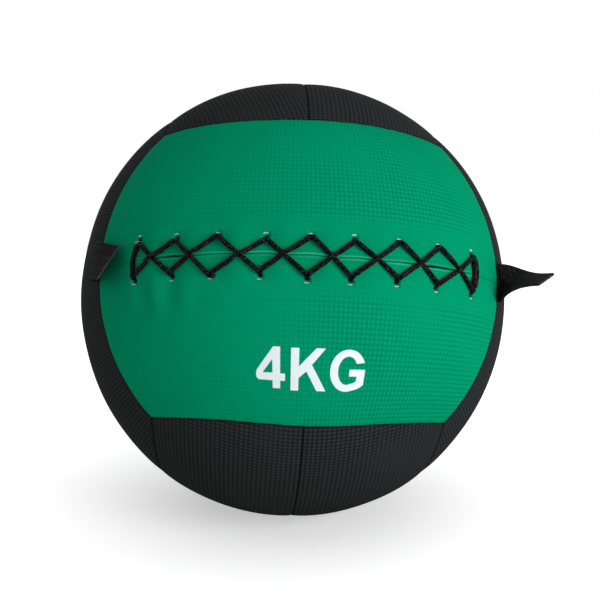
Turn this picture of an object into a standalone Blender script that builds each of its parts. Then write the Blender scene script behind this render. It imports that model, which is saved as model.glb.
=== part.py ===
"""Wall ball: twelve sewn cover panels, a laced slit and two webbing pull tabs over a padded, filled lining.

The ball has a frame of its own, with X to the right, Y to the back and Z up, and the laced face in front.
Each of its six faces is two strips, and a strip is a grid that is laid on the ball by two angles. An empty
at the ball's centre leans that frame back, so that the laced face looks a little upwards, and sets it on
the floor.
"""
import math

import bmesh
import bpy
import numpy as np
from mathutils import Matrix, Vector

MM = 0.001

# Ball
BALL_RADIUS = 175 * MM
REST_RADIUS = 30 * MM
CORNER_FULLNESS_SHARE = 0.04
ROUND_FULLNESS_SHARE = 0.85
TALLNESS_SHARE = 0.02
PITCH = math.radians(14.3)
ROLL = math.radians(2)

# Cover panels
COVER_THICK = 1.2 * MM
SEAM_GAP = 0.3 * MM
SEAM_ROUND = 1.6 * MM
SEAM_ALLOWANCE = 8 * MM
SLIT_GAP = 0.8 * MM
LIP_TURN = 2.4 * MM
COVER_COLUMNS = 12
COVER_ROWS = 6

# Layers under the cover
LAYER_GAP = 0.6 * MM
LAYER_INSET = 3 * MM
LINING_THICK = 1 * MM
FACING_GAP = 0.5 * MM
FACING_THICK = 1 * MM
HEM_FROM_SLIT = 29 * MM
TONGUE_THICK = 1 * MM
TONGUE_HALF_WIDTH = 24 * MM
TONGUE_END_INSET = 20 * MM
MOUTH_LENGTH_SHARE = 0.7
STUFFING_SPLIT = 0.6 * MM
INNER_COLUMNS = 6
INNER_ROWS = 3

# Lacing
LACE_PAIRS = 9
LACE_PITCH_SHARE = 0.1743
HOLE_FROM_SLIT = 14.5 * MM
HOLE_RADIUS = 2.4 * MM
HOLE_SIDES = 12
LACE_RADIUS = 1.5 * MM
LACE_IN_HOLE = 0.9 * MM
LACE_INSIDE = 1.2 * MM
LACE_CROSSING = 1.4 * MM
LACE_CROSSING_RISE = 3.8 * MM
LACE_GAP = 0.55 * MM
LACE_CLEARANCE = 0.3 * MM
END_BAR_BOW = 3 * MM
END_BAR_SHARES = (0.5, 0, -0.5)
SPLICE_LENGTH = 4 * MM
SPLICE_WALL = 0.5 * MM

# Pull tabs
TAB_WIDTH = 28 * MM
TAB_LENGTH = 36 * MM
WEBBING_THICK = 1.2 * MM
WEBBING_GAP = 0.4 * MM
FOLD_HALF = 2.2 * MM
FOLD_RAMP = 9 * MM
HINGE_GAP = 0.35 * MM
ROOT_STAND = 0.3 * MM
ROOT_DEPTH = 8.6 * MM
ROOT_STATIONS = 4
TAB_STATIONS = 8
TAB_COLUMNS = 4
FOLD_OUTER_STEPS = 3
FOLD_INNER_STEPS = 2
CURL_EASE = 2
TWIST_EASE = 1.5
LEFT_TAB_RISE = 6.2 * MM
LEFT_TAB_LEAN = math.radians(47)
LEFT_TAB_CURL = math.radians(42)
LEFT_TAB_TWIST = math.radians(30)
LEFT_TAB_DROOP = math.radians(11)
RIGHT_TAB_RISE = 0.1 * MM
RIGHT_TAB_LEAN = math.radians(24)
RIGHT_TAB_CURL = math.radians(-15)
RIGHT_TAB_TWIST = math.radians(73)
RIGHT_TAB_DROOP = math.radians(1.5)

# Core
CORE_RADIUS = 55 * MM
CORE_CLOTH = 1 * MM
CORE_NECK_RADIUS = 9 * MM
CORE_NECK_RISE = 17 * MM
CORE_MOUTH_RADIUS = 15 * MM
CORE_TIE_RADIUS = 1.5 * MM
CORE_TIE_RISE = 3 * MM
CORE_TIE_SIDES = 6
SAND_GAP = 0.4 * MM
CORE_STEPS = 20

OVERRUN = 3 * MM
WELD = 0.02 * MM
SMOOTH_ANGLE = math.radians(50)

# Angles of the seams: a face's middle to its curved side seams, and its mid seam to its straight seams
FACE_ANGLE = math.acos(math.sqrt(1 / 3))
STRIP_RISE = math.asin(math.sqrt(1 / 3))
STRIP_WIDTH = STRIP_RISE * BALL_RADIUS

UNIT_X = Vector((1, 0, 0))
UNIT_Y = Vector((0, 1, 0))
UNIT_Z = Vector((0, 0, 1))
STRIPS = (
    ("front_upper", -UNIT_Y, UNIT_Z),
    ("front_lower", -UNIT_Y, -UNIT_Z),
    ("back_upper", UNIT_Y, UNIT_Z),
    ("back_lower", UNIT_Y, -UNIT_Z),
    ("top_left", UNIT_Z, -UNIT_X),
    ("top_right", UNIT_Z, UNIT_X),
    ("bottom_left", -UNIT_Z, -UNIT_X),
    ("bottom_right", -UNIT_Z, UNIT_X),
    ("left_front", -UNIT_X, -UNIT_Y),
    ("left_back", -UNIT_X, UNIT_Y),
    ("right_front", UNIT_X, -UNIT_Y),
    ("right_back", UNIT_X, UNIT_Y),
)


# The ball's surface and how it stands

def skin_radius(direction):
    """Distance from the ball's centre to the outside of its cover: a sphere, fuller at the corners."""
    fourth_powers = sum(value ** 4 for value in direction)
    fullness = CORNER_FULLNESS_SHARE * (ROUND_FULLNESS_SHARE - fourth_powers)
    tallness = TALLNESS_SHARE * (direction.z ** 2 - 1 / 3)
    return BALL_RADIUS * (1 + fullness + tallness)


def skin_point(direction, depth):
    """Point at a depth below the cover's outside, along a direction from the centre."""
    return direction * (skin_radius(direction) - depth)


LEAN = Matrix.Rotation(ROLL, 3, "Y") @ Matrix.Rotation(-PITCH, 3, "X")
DOWN = LEAN.transposed() @ -UNIT_Z
CENTRE_HEIGHT = math.sqrt(skin_radius(DOWN) ** 2 - REST_RADIUS ** 2)


def press_flat(sheet, depth):
    """Flatten the part of a layer that the ball's rest presses on the floor, parallel to the floor."""
    level = CENTRE_HEIGHT - depth
    whole = sheet.verts[:] + sheet.edges[:] + sheet.faces[:]
    bmesh.ops.bisect_plane(sheet, geom=whole, dist=WELD, plane_co=DOWN * level, plane_no=DOWN)
    for vert in sheet.verts:
        sunk = vert.co.dot(DOWN) - level
        if sunk > 0:
            vert.co -= DOWN * sunk


def latitude(row_share):
    """Angle of a grid row from its face's mid seam; the row at 1 is the straight seam."""
    return math.asin(math.sqrt(2 / 3) * math.sin(row_share * math.pi / 4))


def side_longitude(lat, inset):
    """Angle from the face's middle to its curved side seam, less an inset along the surface."""
    return math.acos(math.cos(FACE_ANGLE - inset / BALL_RADIUS) / math.cos(lat))


def strip_sheet(normal, across, depth, grid, row_shares, edges):
    """Open sheet on a strip; grid is its columns and rows, edges its side inset, lowest and highest arcs."""
    along = across.cross(normal)
    columns, rows = grid
    first_share, last_share = row_shares
    side_inset, low_arc, high_arc = edges
    sheet = bmesh.new()
    bmesh.ops.create_grid(sheet, x_segments=columns, y_segments=rows, size=1)
    for vert in sheet.verts:
        lat = latitude(first_share + (last_share - first_share) * (vert.co.y + 1) / 2)
        lat = max(low_arc / BALL_RADIUS, min(high_arc / BALL_RADIUS, lat))
        limit = side_longitude(lat, side_inset)
        lon = max(-limit, min(limit, vert.co.x * side_longitude(lat, 0)))
        level = (normal * math.cos(lon) + along * math.sin(lon)) * math.cos(lat)
        vert.co = skin_point(level + across * math.sin(lat), depth)
    press_flat(sheet, depth)
    return sheet


def facet_sag(columns, rows):
    """How far the flat faces of a sheet of that many columns and rows dip below the round surface."""
    column_dip = 1 - math.cos(FACE_ANGLE / columns)
    row_dip = 1 - math.cos(STRIP_RISE / rows / 2)
    return BALL_RADIUS * (column_dip + row_dip)


# Depths of the layers, outside to inside
PAD_DEPTH = COVER_THICK + LAYER_GAP
FACING_DEPTH = COVER_THICK + FACING_GAP
FACING_BACK = FACING_DEPTH + FACING_THICK + facet_sag(COVER_COLUMNS, COVER_ROWS)
UPPER_BAR_DEPTH = FACING_BACK + LACE_CLEARANCE + LACE_INSIDE
LOWER_BAR_DEPTH = UPPER_BAR_DEPTH + LACE_INSIDE * 2 + LACE_GAP
TONGUE_DEPTH = LOWER_BAR_DEPTH + LACE_INSIDE + LACE_CLEARANCE
LINING_DEPTH = TONGUE_DEPTH + TONGUE_THICK + LACE_CLEARANCE
PAD_THICK = LINING_DEPTH - PAD_DEPTH - LAYER_GAP - facet_sag(INNER_COLUMNS * 2, INNER_ROWS * 2)
STUFFING_DEPTH = LINING_DEPTH + LINING_THICK + LAYER_GAP


# Objects, materials and collections

def srgb(code):
    """Linear colour of an sRGB hex code."""
    values = [int(code[place:place + 2], 16) / 255 for place in (0, 2, 4)]
    linear = [value / 12.92 if value <= 0.04045 else ((value + 0.055) / 1.055) ** 2.4 for value in values]
    return linear + [1]


def finish(name, code, roughness, metallic=0):
    """Material of a plain colour, roughness and metallic value."""
    material = bpy.data.materials.new(name)
    material.use_nodes = True
    shader = material.node_tree.nodes["Principled BSDF"]
    shader.inputs["Base Color"].default_value = srgb(code)
    shader.inputs["Roughness"].default_value = roughness
    shader.inputs["Metallic"].default_value = metallic
    return material


for leftover in list(bpy.data.objects):
    bpy.data.objects.remove(leftover, do_unlink=True)

parts = bpy.data.collections.new("wall_ball")
cutters = bpy.data.collections.new("wall_ball_cutters")
for collection in (parts, cutters):
    bpy.context.scene.collection.children.link(collection)

green_leather = finish("green_leatherette", "008860", 0.5)
black_leather = finish("black_leatherette", "2A2B2C", 0.55)
pale_backing = finish("pale_backing", "B9C4BD", 0.8)
black_braid = finish("black_braid", "1C1D1E", 0.75)
black_webbing = finish("black_webbing", "1E1F20", 0.8)
splice_sleeve = finish("shrink_sleeve", "8A8F8D", 0.4)
grey_foam = finish("grey_foam", "6E7275", 0.9)
lining_cloth = finish("lining_cloth", "30343A", 0.85)
textile_fill = finish("textile_fill", "9A958C", 0.95)
canvas = finish("canvas", "B7A98A", 0.9)
iron_sand = finish("iron_sand", "3C3836", 0.7, 0.4)


def add_object(name, data, material, parent, collection=parts):
    """Object of a mesh or curve on a parent, in its own material."""
    thing = bpy.data.objects.new(name, data)
    collection.objects.link(thing)
    thing.parent = parent
    if material:
        data.materials.append(material)
    return thing


def add_solid(name, form, material, parent, collection=parts):
    """Object of a bmesh, shaded smooth up to the sharp angle."""
    data = bpy.data.meshes.new(name)
    form.to_mesh(data)
    form.free()
    data.shade_smooth()
    data.set_sharp_from_angle(angle=SMOOTH_ANGLE)
    return add_object(name, data, material, parent, collection)


def add_cutter(name, form, parent):
    """Guide that only cuts."""
    cutter = add_solid(name, form, None, parent, cutters)
    cutter.hide_render = True
    cutter.display_type = "WIRE"
    return cutter


def thicken(thing, thickness):
    """Wall of a sheet, grown inwards."""
    wall = thing.modifiers.new("wall", "SOLIDIFY")
    wall.thickness = thickness
    wall.offset = -1
    wall.use_even_offset = True


def cut(thing, cutter):
    """Take a cutter's shape out of a solid."""
    opening = thing.modifiers.new("cut", "BOOLEAN")
    opening.operation = "DIFFERENCE"
    opening.object = cutter


def turn(thing, steps):
    """Turn an object's profile about its Z axis."""
    lathe = thing.modifiers.new("turned", "SCREW")
    lathe.steps = steps
    lathe.render_steps = steps
    lathe.use_merge_vertices = True
    lathe.merge_threshold = WELD
    lathe.use_smooth_shade = True


def add_empty(name, location, rotation, parent=None):
    """Frame that pieces are parented to."""
    empty = bpy.data.objects.new(name, None)
    parts.objects.link(empty)
    empty.parent = parent
    empty.location = location
    empty.rotation_euler = rotation.to_euler()
    return empty


ball_centre = add_empty("ball_centre", (0, 0, CENTRE_HEIGHT), LEAN)


# Lacing places on the front face

def front_direction(along, rise):
    """Direction of a place on the front face, by its arcs from the face's middle."""
    lon = along / BALL_RADIUS
    lat = rise / BALL_RADIUS
    level = (UNIT_X * math.sin(lon) - UNIT_Y * math.cos(lon)) * math.cos(lat)
    return level + UNIT_Z * math.sin(lat)


def front_point(along, rise, height):
    """Point at a height above the front face."""
    return skin_point(front_direction(along, rise), -height)


def pair_along(pair):
    """Arc from the face's middle to a pair of lace holes."""
    return (pair - (LACE_PAIRS - 1) / 2) * LACE_PITCH_SHARE * BALL_RADIUS


def lace_hole_cutter(name, row):
    """Punches for one row of lace holes, through the cover and its facing."""
    punches = bmesh.new()
    length = FACING_BACK + OVERRUN * 2
    for pair in range(LACE_PAIRS):
        axis = front_direction(pair_along(pair), row * HOLE_FROM_SLIT)
        tilt = UNIT_Z.rotation_difference(axis).to_matrix().to_4x4()
        place = Matrix.Translation(skin_point(axis, FACING_BACK / 2)) @ tilt
        bmesh.ops.create_cone(
            punches, cap_ends=True, segments=HOLE_SIDES, radius1=HOLE_RADIUS, radius2=HOLE_RADIUS,
            depth=length, matrix=place,
        )
    return add_cutter(name, punches, ball_centre)


hole_cutters = {
    "front_upper": lace_hole_cutter("upper_hole_punch", 1),
    "front_lower": lace_hole_cutter("lower_hole_punch", -1),
}


# Pull tabs' places in the seams at the ends of the slit

def seam_direction(side, offset, rise):
    """Direction of a place on the seam beside the front face, offset across the seam towards the back."""
    forward = math.cos(FACE_ANGLE + offset / BALL_RADIUS)
    height = rise / BALL_RADIUS
    return Vector((side * math.sqrt(1 - forward ** 2 - height ** 2), -forward, height))


def seam_block(side, rise, half_thick, half_width, top_depth, bottom_depth):
    """Block that follows the seam round a rise, between two depths."""
    block = bmesh.new()
    bmesh.ops.create_cube(block, size=2)
    tall = [edge for edge in block.edges if edge.verts[0].co.z != edge.verts[1].co.z]
    bmesh.ops.subdivide_edges(block, edges=tall, cuts=ROOT_STATIONS, use_grid_fill=True)
    for vert in block.verts:
        direction = seam_direction(side, vert.co.x * half_thick, rise + vert.co.z * half_width)
        vert.co = skin_point(direction, top_depth if vert.co.y < 0 else bottom_depth)
    block.normal_update()
    bmesh.ops.recalc_face_normals(block, faces=block.faces)
    return block


TAB_HALF = WEBBING_THICK + WEBBING_GAP / 2
SIDES = (("left", -1, LEFT_TAB_RISE), ("right", 1, RIGHT_TAB_RISE))
slot_cutters = {}
for side_name, side, rise in SIDES:
    slot = seam_block(
        side, rise, TAB_HALF + SEAM_GAP, TAB_WIDTH / 2 + SEAM_GAP, -OVERRUN, ROOT_DEPTH + OVERRUN,
    )
    slot_cutters[side_name] = add_cutter(side_name + "_tab_slot", slot, ball_centre)
    root = seam_block(side, rise, TAB_HALF, TAB_WIDTH / 2, -ROOT_STAND, ROOT_DEPTH)
    add_solid("tab_" + side_name + "_root", root, black_webbing, ball_centre)


# Cover panels: a strip's sheet with its edges turned in at the seams

def cover_panel(name, normal, across):
    """One cover panel."""
    laced = name in hole_cutters
    low_arc = SLIT_GAP / 2 if laced else SEAM_GAP / 2
    edges = (SEAM_GAP / 2, low_arc, STRIP_WIDTH - SEAM_GAP / 2)
    sheet = strip_sheet(normal, across, 0, (COVER_COLUMNS, COVER_ROWS), (0, 1), edges)
    rim = [edge for edge in sheet.edges if edge.is_boundary]
    turned = bmesh.ops.extrude_edge_only(sheet, edges=rim)
    for vert in turned["geom"]:
        if isinstance(vert, bmesh.types.BMVert):
            at_slit = laced and vert.co.dot(across) < LIP_TURN
            vert.co -= vert.co.normalized() * (LIP_TURN if at_slit else SEAM_ALLOWANCE)
    bmesh.ops.bevel(
        sheet, geom=rim, offset=SEAM_ROUND, offset_type="OFFSET", segments=1, profile=0.5,
        affect="EDGES", material=-1,
    )
    sheet.normal_update()
    bmesh.ops.recalc_face_normals(sheet, faces=sheet.faces)
    leather = green_leather if abs(normal.y) > 0 else black_leather
    panel = add_solid("cover_" + name, sheet, leather, ball_centre)
    thicken(panel, COVER_THICK)
    if laced:
        cut(panel, hole_cutters[name])
        for cutter in slot_cutters.values():
            cut(panel, cutter)
    elif name in ("left_front", "right_front"):
        cut(panel, slot_cutters[name.split("_")[0]])


for strip_name, strip_normal, strip_across in STRIPS:
    cover_panel(strip_name, strip_normal, strip_across)


# Foam pad behind each cover panel, clear of the seam allowances

for strip_name, strip_normal, strip_across in STRIPS:
    low = HEM_FROM_SLIT + LAYER_GAP if strip_name in hole_cutters else LAYER_INSET
    pad_edges = (LAYER_INSET, low, STRIP_WIDTH - LAYER_INSET)
    pad_grid = (INNER_COLUMNS, INNER_ROWS)
    pad_sheet = strip_sheet(strip_normal, strip_across, PAD_DEPTH, pad_grid, (0, 1), pad_edges)
    pad = add_solid("pad_" + strip_name, pad_sheet, grey_foam, ball_centre)
    thicken(pad, PAD_THICK)


# Facing strips behind the lips of the slit, punched with the cover

for strip_name, cutter in hole_cutters.items():
    strip_across = UNIT_Z if strip_name == "front_upper" else -UNIT_Z
    facing_edges = (LAYER_INSET, SLIT_GAP / 2 + COVER_THICK + SEAM_ROUND, HEM_FROM_SLIT)
    facing_rows = COVER_ROWS // INNER_ROWS
    facing_grid = (COVER_COLUMNS, facing_rows)
    facing_shares = (0, facing_rows / COVER_ROWS)
    facing_sheet = strip_sheet(
        -UNIT_Y, strip_across, FACING_DEPTH, facing_grid, facing_shares, facing_edges,
    )
    facing = add_solid("lip_facing_" + strip_name.split("_")[1], facing_sheet, pale_backing, ball_centre)
    thicken(facing, FACING_THICK)
    cut(facing, cutter)


# Tongue behind the lacing

first_row_share = 1 / INNER_ROWS
tongue_sheet = strip_sheet(
    -UNIT_Y, UNIT_Z, TONGUE_DEPTH, (INNER_COLUMNS, 2), (-first_row_share, first_row_share),
    (TONGUE_END_INSET, -TONGUE_HALF_WIDTH, TONGUE_HALF_WIDTH),
)
tongue = add_solid("slit_tongue", tongue_sheet, green_leather, ball_centre)
thicken(tongue, TONGUE_THICK)


# Lace: one cord that crosses outside between the pairs and runs straight inside behind each pair

def hole_passage(pair, row, half, bar_depth):
    """The cord's points from outside a hole to its inner bar; half is the side of the hole that it uses."""
    reach = LACE_IN_HOLE + LACE_GAP / 2
    outside = (reach + LACE_RADIUS, LACE_RADIUS, LACE_RADIUS + LACE_CLEARANCE, LACE_CROSSING)
    mouth = (reach + LACE_CLEARANCE, LACE_CLEARANCE, LACE_IN_HOLE, LACE_IN_HOLE)
    throat = (reach, 0, -FACING_BACK, LACE_IN_HOLE)
    inside = (reach + LACE_CLEARANCE, LACE_RADIUS, -bar_depth, LACE_INSIDE)
    return [
        (pair_along(pair) + half * offset, row * (HOLE_FROM_SLIT - toward_slit), height, radius)
        for offset, toward_slit, height, radius in (outside, mouth, throat, inside)
    ]


def diagonal(start, end, over):
    """The cord's points between two hole approaches, passing over or under the other cord."""
    crossing_height = LACE_CROSSING + LACE_CLEARANCE
    side_height = LACE_RADIUS + LACE_CLEARANCE
    if over:
        crossing_height += LACE_CROSSING_RISE
        side_height += LACE_RADIUS / 2
    stops = (
        (1 / 3, side_height, LACE_RADIUS),
        (1 / 2, crossing_height, LACE_CROSSING),
        (2 / 3, side_height, LACE_RADIUS),
    )
    return [
        (start[0] + (end[0] - start[0]) * share, start[1] + (end[1] - start[1]) * share, height, radius)
        for share, height, radius in stops
    ]


def crossing_run(start_pair, step, start_row, bar_depth, over):
    """Zigzag from one end pair to the other: a bar inside at each pair and a diagonal between pairs."""
    route = []
    pair = start_pair
    for _ in range(LACE_PAIRS):
        entry = hole_passage(pair, start_row, -step, bar_depth)
        leave = hole_passage(pair, -start_row, step, bar_depth)
        if route:
            route += diagonal(route[-1], entry[0], over)
        route += entry + leave[::-1]
        pair += step
    return route


def end_bar(pair, side, rises):
    """Outside bar at an end pair, bowed away from the lacing, through the given rises."""
    points = []
    for rise in rises:
        bow = END_BAR_BOW * (1 - (rise / HOLE_FROM_SLIT) ** 2)
        along = pair_along(pair) + side * (LACE_IN_HOLE + LACE_RADIUS + bow)
        points.append((along, rise, LACE_RADIUS + LACE_CLEARANCE + SPLICE_WALL, LACE_RADIUS))
    return points


last_pair = LACE_PAIRS - 1
bar_rises = [HOLE_FROM_SLIT * share for share in END_BAR_SHARES]
lace_route = end_bar(0, -1, bar_rises)
lace_route += crossing_run(0, 1, -1, LOWER_BAR_DEPTH, False)
lace_route += end_bar(last_pair, 1, bar_rises)
lace_route += crossing_run(last_pair, -1, -1, UPPER_BAR_DEPTH, True)


def tube(name, route, material, parent):
    """Round cord through points with a radius at each."""
    data = bpy.data.curves.new(name, "CURVE")
    data.dimensions = "3D"
    data.bevel_depth = LACE_RADIUS
    data.bevel_resolution = 1
    data.use_fill_caps = True
    spline = data.splines.new("POLY")
    spline.points.add(len(route) - 1)
    for point, (along, rise, height, radius) in zip(spline.points, route):
        point.co = front_point(along, rise, height).to_4d()
        point.radius = radius / LACE_RADIUS
    return add_object(name, data, material, parent)


tube("lace", lace_route, black_braid, ball_centre)


def least_gap(route):
    """Least gap between two stretches of the cord that lie apart along it."""
    places = []
    radii = []
    for start, end in zip(route, route[1:]):
        for share in (0, 0.25, 0.5, 0.75):
            mixed = [low + (high - low) * share for low, high in zip(start, end)]
            places.append(front_point(*mixed[:3]))
            radii.append(mixed[3])
    places = np.array(places)
    radii = np.array(radii)
    steps = np.linalg.norm(np.diff(places, axis=0), axis=1)
    travelled = np.concatenate([[0], np.cumsum(steps)])
    apart = np.linalg.norm(places[:, None] - places[None], axis=2) - radii[:, None] - radii[None]
    near = np.abs(travelled[:, None] - travelled[None]) < LACE_RADIUS * 6
    return apart[~near].min()


print("least gap of the lace to itself, mm:", round(least_gap(lace_route) / MM, 3))


# Webbing pull tabs, folded double, each on an empty at its seam

def eased(share, power):
    """Quick start and slow end."""
    return 1 - (1 - max(0, share)) ** power


def tab_outline():
    """Outline of the folded webbing, seen along its width: round at the hinge and fuller at the fold."""
    def half_at(distance):
        swell = max(0, 1 - (TAB_LENGTH - FOLD_HALF - distance) / FOLD_RAMP)
        return TAB_HALF + (FOLD_HALF - TAB_HALF) * swell

    stations = [(TAB_LENGTH - FOLD_HALF) * step / TAB_STATIONS for step in range(TAB_STATIONS + 1)]
    gap_angle = math.asin(WEBBING_GAP / 2 / TAB_HALF)
    root_turns = [math.pi - gap_angle, math.pi * 5 / 6, math.pi * 2 / 3]
    outer = [(TAB_HALF * math.cos(angle), TAB_HALF * math.sin(angle)) for angle in root_turns]
    outer += [(station, half_at(station)) for station in stations]
    inner = [(station, half_at(station) - WEBBING_THICK) for station in stations]
    fold_centre = TAB_LENGTH - FOLD_HALF
    folds = (
        (FOLD_HALF, outer, FOLD_OUTER_STEPS),
        (FOLD_HALF - WEBBING_THICK, inner, FOLD_INNER_STEPS),
    )
    for radius, points, turns in folds:
        for step in range(1, turns):
            angle = math.pi / 2 * (1 - step / turns)
            points.append((fold_centre + radius * math.cos(angle), radius * math.sin(angle)))
        points.append((fold_centre + radius, 0))
    lower_outer = [(x, -y) for x, y in outer[-2::-1]]
    lower_inner = [(x, -y) for x, y in inner]
    upper_inner = inner[-2::-1]
    return outer + lower_outer + lower_inner[:-1] + [inner[-1]] + upper_inner


def shape_tab(form, side, lean, curl, twist, droop):
    """Lean, curl, twist and droop a straight tab, whose X runs out from the hinge."""
    toward_front = -side
    steps = TAB_STATIONS * 3
    for vert in form.verts:
        distance, offset, width = vert.co
        centre = Vector((0, 0, 0))
        heading = lean
        for step in range(steps):
            heading = lean + curl * eased((step + 0.5) / steps * distance / TAB_LENGTH, CURL_EASE)
            centre += Vector((math.cos(heading), toward_front * math.sin(heading), 0)) * distance / steps
        heading = lean + curl * eased(distance / TAB_LENGTH, CURL_EASE)
        outward = Vector((math.cos(heading), toward_front * math.sin(heading), 0))
        facing = UNIT_Z.cross(outward)
        turned = twist * eased(distance / TAB_LENGTH, TWIST_EASE)
        width_axis = UNIT_Z * math.cos(turned) + facing * math.sin(turned)
        thick_axis = facing * math.cos(turned) - UNIT_Z * math.sin(turned)
        vert.co = centre + width_axis * width + thick_axis * offset
        vert.co.z -= math.tan(droop) * max(0, distance)


def add_tab(side_name, side, rise, lean, curl, twist, droop):
    """One pull tab on its hinge."""
    middle = seam_direction(side, 0, 0)
    reach = skin_radius(middle) + ROOT_STAND + HINGE_GAP + TAB_HALF
    turn_out = Matrix((middle, UNIT_Z.cross(middle), UNIT_Z)).transposed()
    place = middle * reach + UNIT_Z * rise
    hinge = add_empty("tab_" + side_name + "_hinge", place, turn_out, ball_centre)
    flat = bpy.data.curves.new("tab_outline", "CURVE")
    flat.dimensions = "2D"
    flat.fill_mode = "BOTH"
    flat.extrude = TAB_WIDTH / 2
    outline = tab_outline()
    spline = flat.splines.new("POLY")
    spline.points.add(len(outline) - 1)
    spline.use_cyclic_u = True
    for point, (x, y) in zip(spline.points, outline):
        point.co = (x, y, 0, 1)
    blank = add_object("tab_blank", flat, None, hinge)
    bpy.context.view_layer.update()
    evaluated = blank.evaluated_get(bpy.context.evaluated_depsgraph_get())
    data = bpy.data.meshes.new_from_object(evaluated)
    bpy.data.objects.remove(blank)
    welded = bmesh.new()
    welded.from_mesh(data)
    bmesh.ops.remove_doubles(welded, verts=welded.verts, dist=WELD)
    across = [edge for edge in welded.edges if abs(edge.verts[0].co.z - edge.verts[1].co.z) > TAB_WIDTH / 2]
    bmesh.ops.subdivide_edges(welded, edges=across, cuts=TAB_COLUMNS - 1, use_grid_fill=True)
    shape_tab(welded, side, lean, curl, twist, droop)
    bmesh.ops.triangulate(welded, faces=welded.faces)
    welded.normal_update()
    bmesh.ops.recalc_face_normals(welded, faces=welded.faces)
    welded.to_mesh(data)
    welded.free()
    data.shade_smooth()
    data.set_sharp_from_angle(angle=SMOOTH_ANGLE)
    add_object("tab_" + side_name, data, black_webbing, hinge)


add_tab("left", -1, LEFT_TAB_RISE, LEFT_TAB_LEAN, LEFT_TAB_CURL, LEFT_TAB_TWIST, LEFT_TAB_DROOP)
add_tab("right", 1, RIGHT_TAB_RISE, RIGHT_TAB_LEAN, RIGHT_TAB_CURL, RIGHT_TAB_TWIST, RIGHT_TAB_DROOP)


# Sleeve over the join of the lace's two ends, on the end bar at the left

join_low = front_point(*lace_route[0][:3])
join_high = front_point(*lace_route[-1][:3])
sleeve_turn = UNIT_Z.rotation_difference(join_high - join_low).to_matrix().to_4x4()
sleeve_place = Matrix.Translation((join_low + join_high) / 2) @ sleeve_turn
sleeve = bmesh.new()
sleeve_radius = LACE_RADIUS + LACE_CLEARANCE + SPLICE_WALL
bmesh.ops.create_cone(
    sleeve, cap_ends=False, segments=HOLE_SIDES, radius1=sleeve_radius, radius2=sleeve_radius,
    depth=SPLICE_LENGTH, matrix=sleeve_place,
)
thicken(add_solid("lace_splice", sleeve, splice_sleeve, ball_centre), SPLICE_WALL)


# Lining bag and the filling in it

def whole_ball(depth):
    """Closed surface at a depth below the cover, from all twelve strips."""
    ball = bmesh.new()
    for _, normal, across in STRIPS:
        sheet = strip_sheet(normal, across, depth, (INNER_COLUMNS, INNER_ROWS), (0, 1), (0, 0, STRIP_WIDTH))
        data = bpy.data.meshes.new("strip")
        sheet.to_mesh(data)
        sheet.free()
        ball.from_mesh(data)
        bpy.data.meshes.remove(data)
    bmesh.ops.remove_doubles(ball, verts=ball.verts, dist=WELD)
    return ball


mouth = bmesh.new()
mouth_length = (FACE_ANGLE * BALL_RADIUS - TONGUE_END_INSET) * 2 * MOUTH_LENGTH_SHARE
bmesh.ops.create_cube(mouth, size=1)
bmesh.ops.scale(mouth, verts=mouth.verts, vec=(mouth_length, BALL_RADIUS, TONGUE_HALF_WIDTH))
bmesh.ops.translate(mouth, verts=mouth.verts, vec=(0, -BALL_RADIUS, 0))
mouth_cutter = add_cutter("lining_mouth", mouth, ball_centre)

lining = add_solid("lining", whole_ball(LINING_DEPTH), lining_cloth, ball_centre)
thicken(lining, LINING_THICK)
cut(lining, mouth_cutter)


def core_profile(grow):
    """Outer side of the round core, from its neck to its lowest point, grown by a gap."""
    radius = CORE_RADIUS + grow
    start_angle = math.asin(CORE_NECK_RADIUS / CORE_RADIUS)
    points = []
    turns = CORE_STEPS // 2
    for step in range(turns):
        angle = start_angle + (math.pi - start_angle) * step / turns
        points.append((radius * math.sin(angle), radius * math.cos(angle)))
    return points + [(0, -radius)]


def add_turned(name, profile, material, collection=parts):
    """Solid or shell of a profile turned about the ball's upright."""
    outline = bmesh.new()
    verts = [outline.verts.new((radius, 0, height)) for radius, height in profile]
    for start, end in zip(verts, verts[1:]):
        outline.edges.new((start, end))
    turned = add_solid(name, outline, material, ball_centre, collection)
    turn(turned, CORE_STEPS)
    return turned


mouth_height = CORE_RADIUS + CORE_NECK_RISE
tie_height = CORE_RADIUS + CORE_TIE_RISE
bag_profile = [(CORE_MOUTH_RADIUS, mouth_height), (CORE_NECK_RADIUS, tie_height + CORE_TIE_RADIUS)]
bag_profile += [(CORE_NECK_RADIUS, tie_height - CORE_TIE_RADIUS)] + core_profile(0)
core_bag = add_turned("core_bag", bag_profile, canvas)
thicken(core_bag, CORE_CLOTH)

sand_profile = core_profile(-CORE_CLOTH - SAND_GAP)[1:]
add_turned("core_sand", [(0, sand_profile[0][1])] + sand_profile, iron_sand)

bpy.ops.mesh.primitive_torus_add(
    major_radius=CORE_NECK_RADIUS + CORE_TIE_RADIUS + SAND_GAP, minor_radius=CORE_TIE_RADIUS,
    major_segments=CORE_STEPS, minor_segments=CORE_TIE_SIDES, location=(0, 0, tie_height),
)
core_tie = bpy.context.object
core_tie.name = "core_tie"
core_tie.data.materials.append(black_braid)
core_tie.data.shade_smooth()
for owner in core_tie.users_collection:
    owner.objects.unlink(core_tie)
parts.objects.link(core_tie)
core_tie.parent = ball_centre

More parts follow.
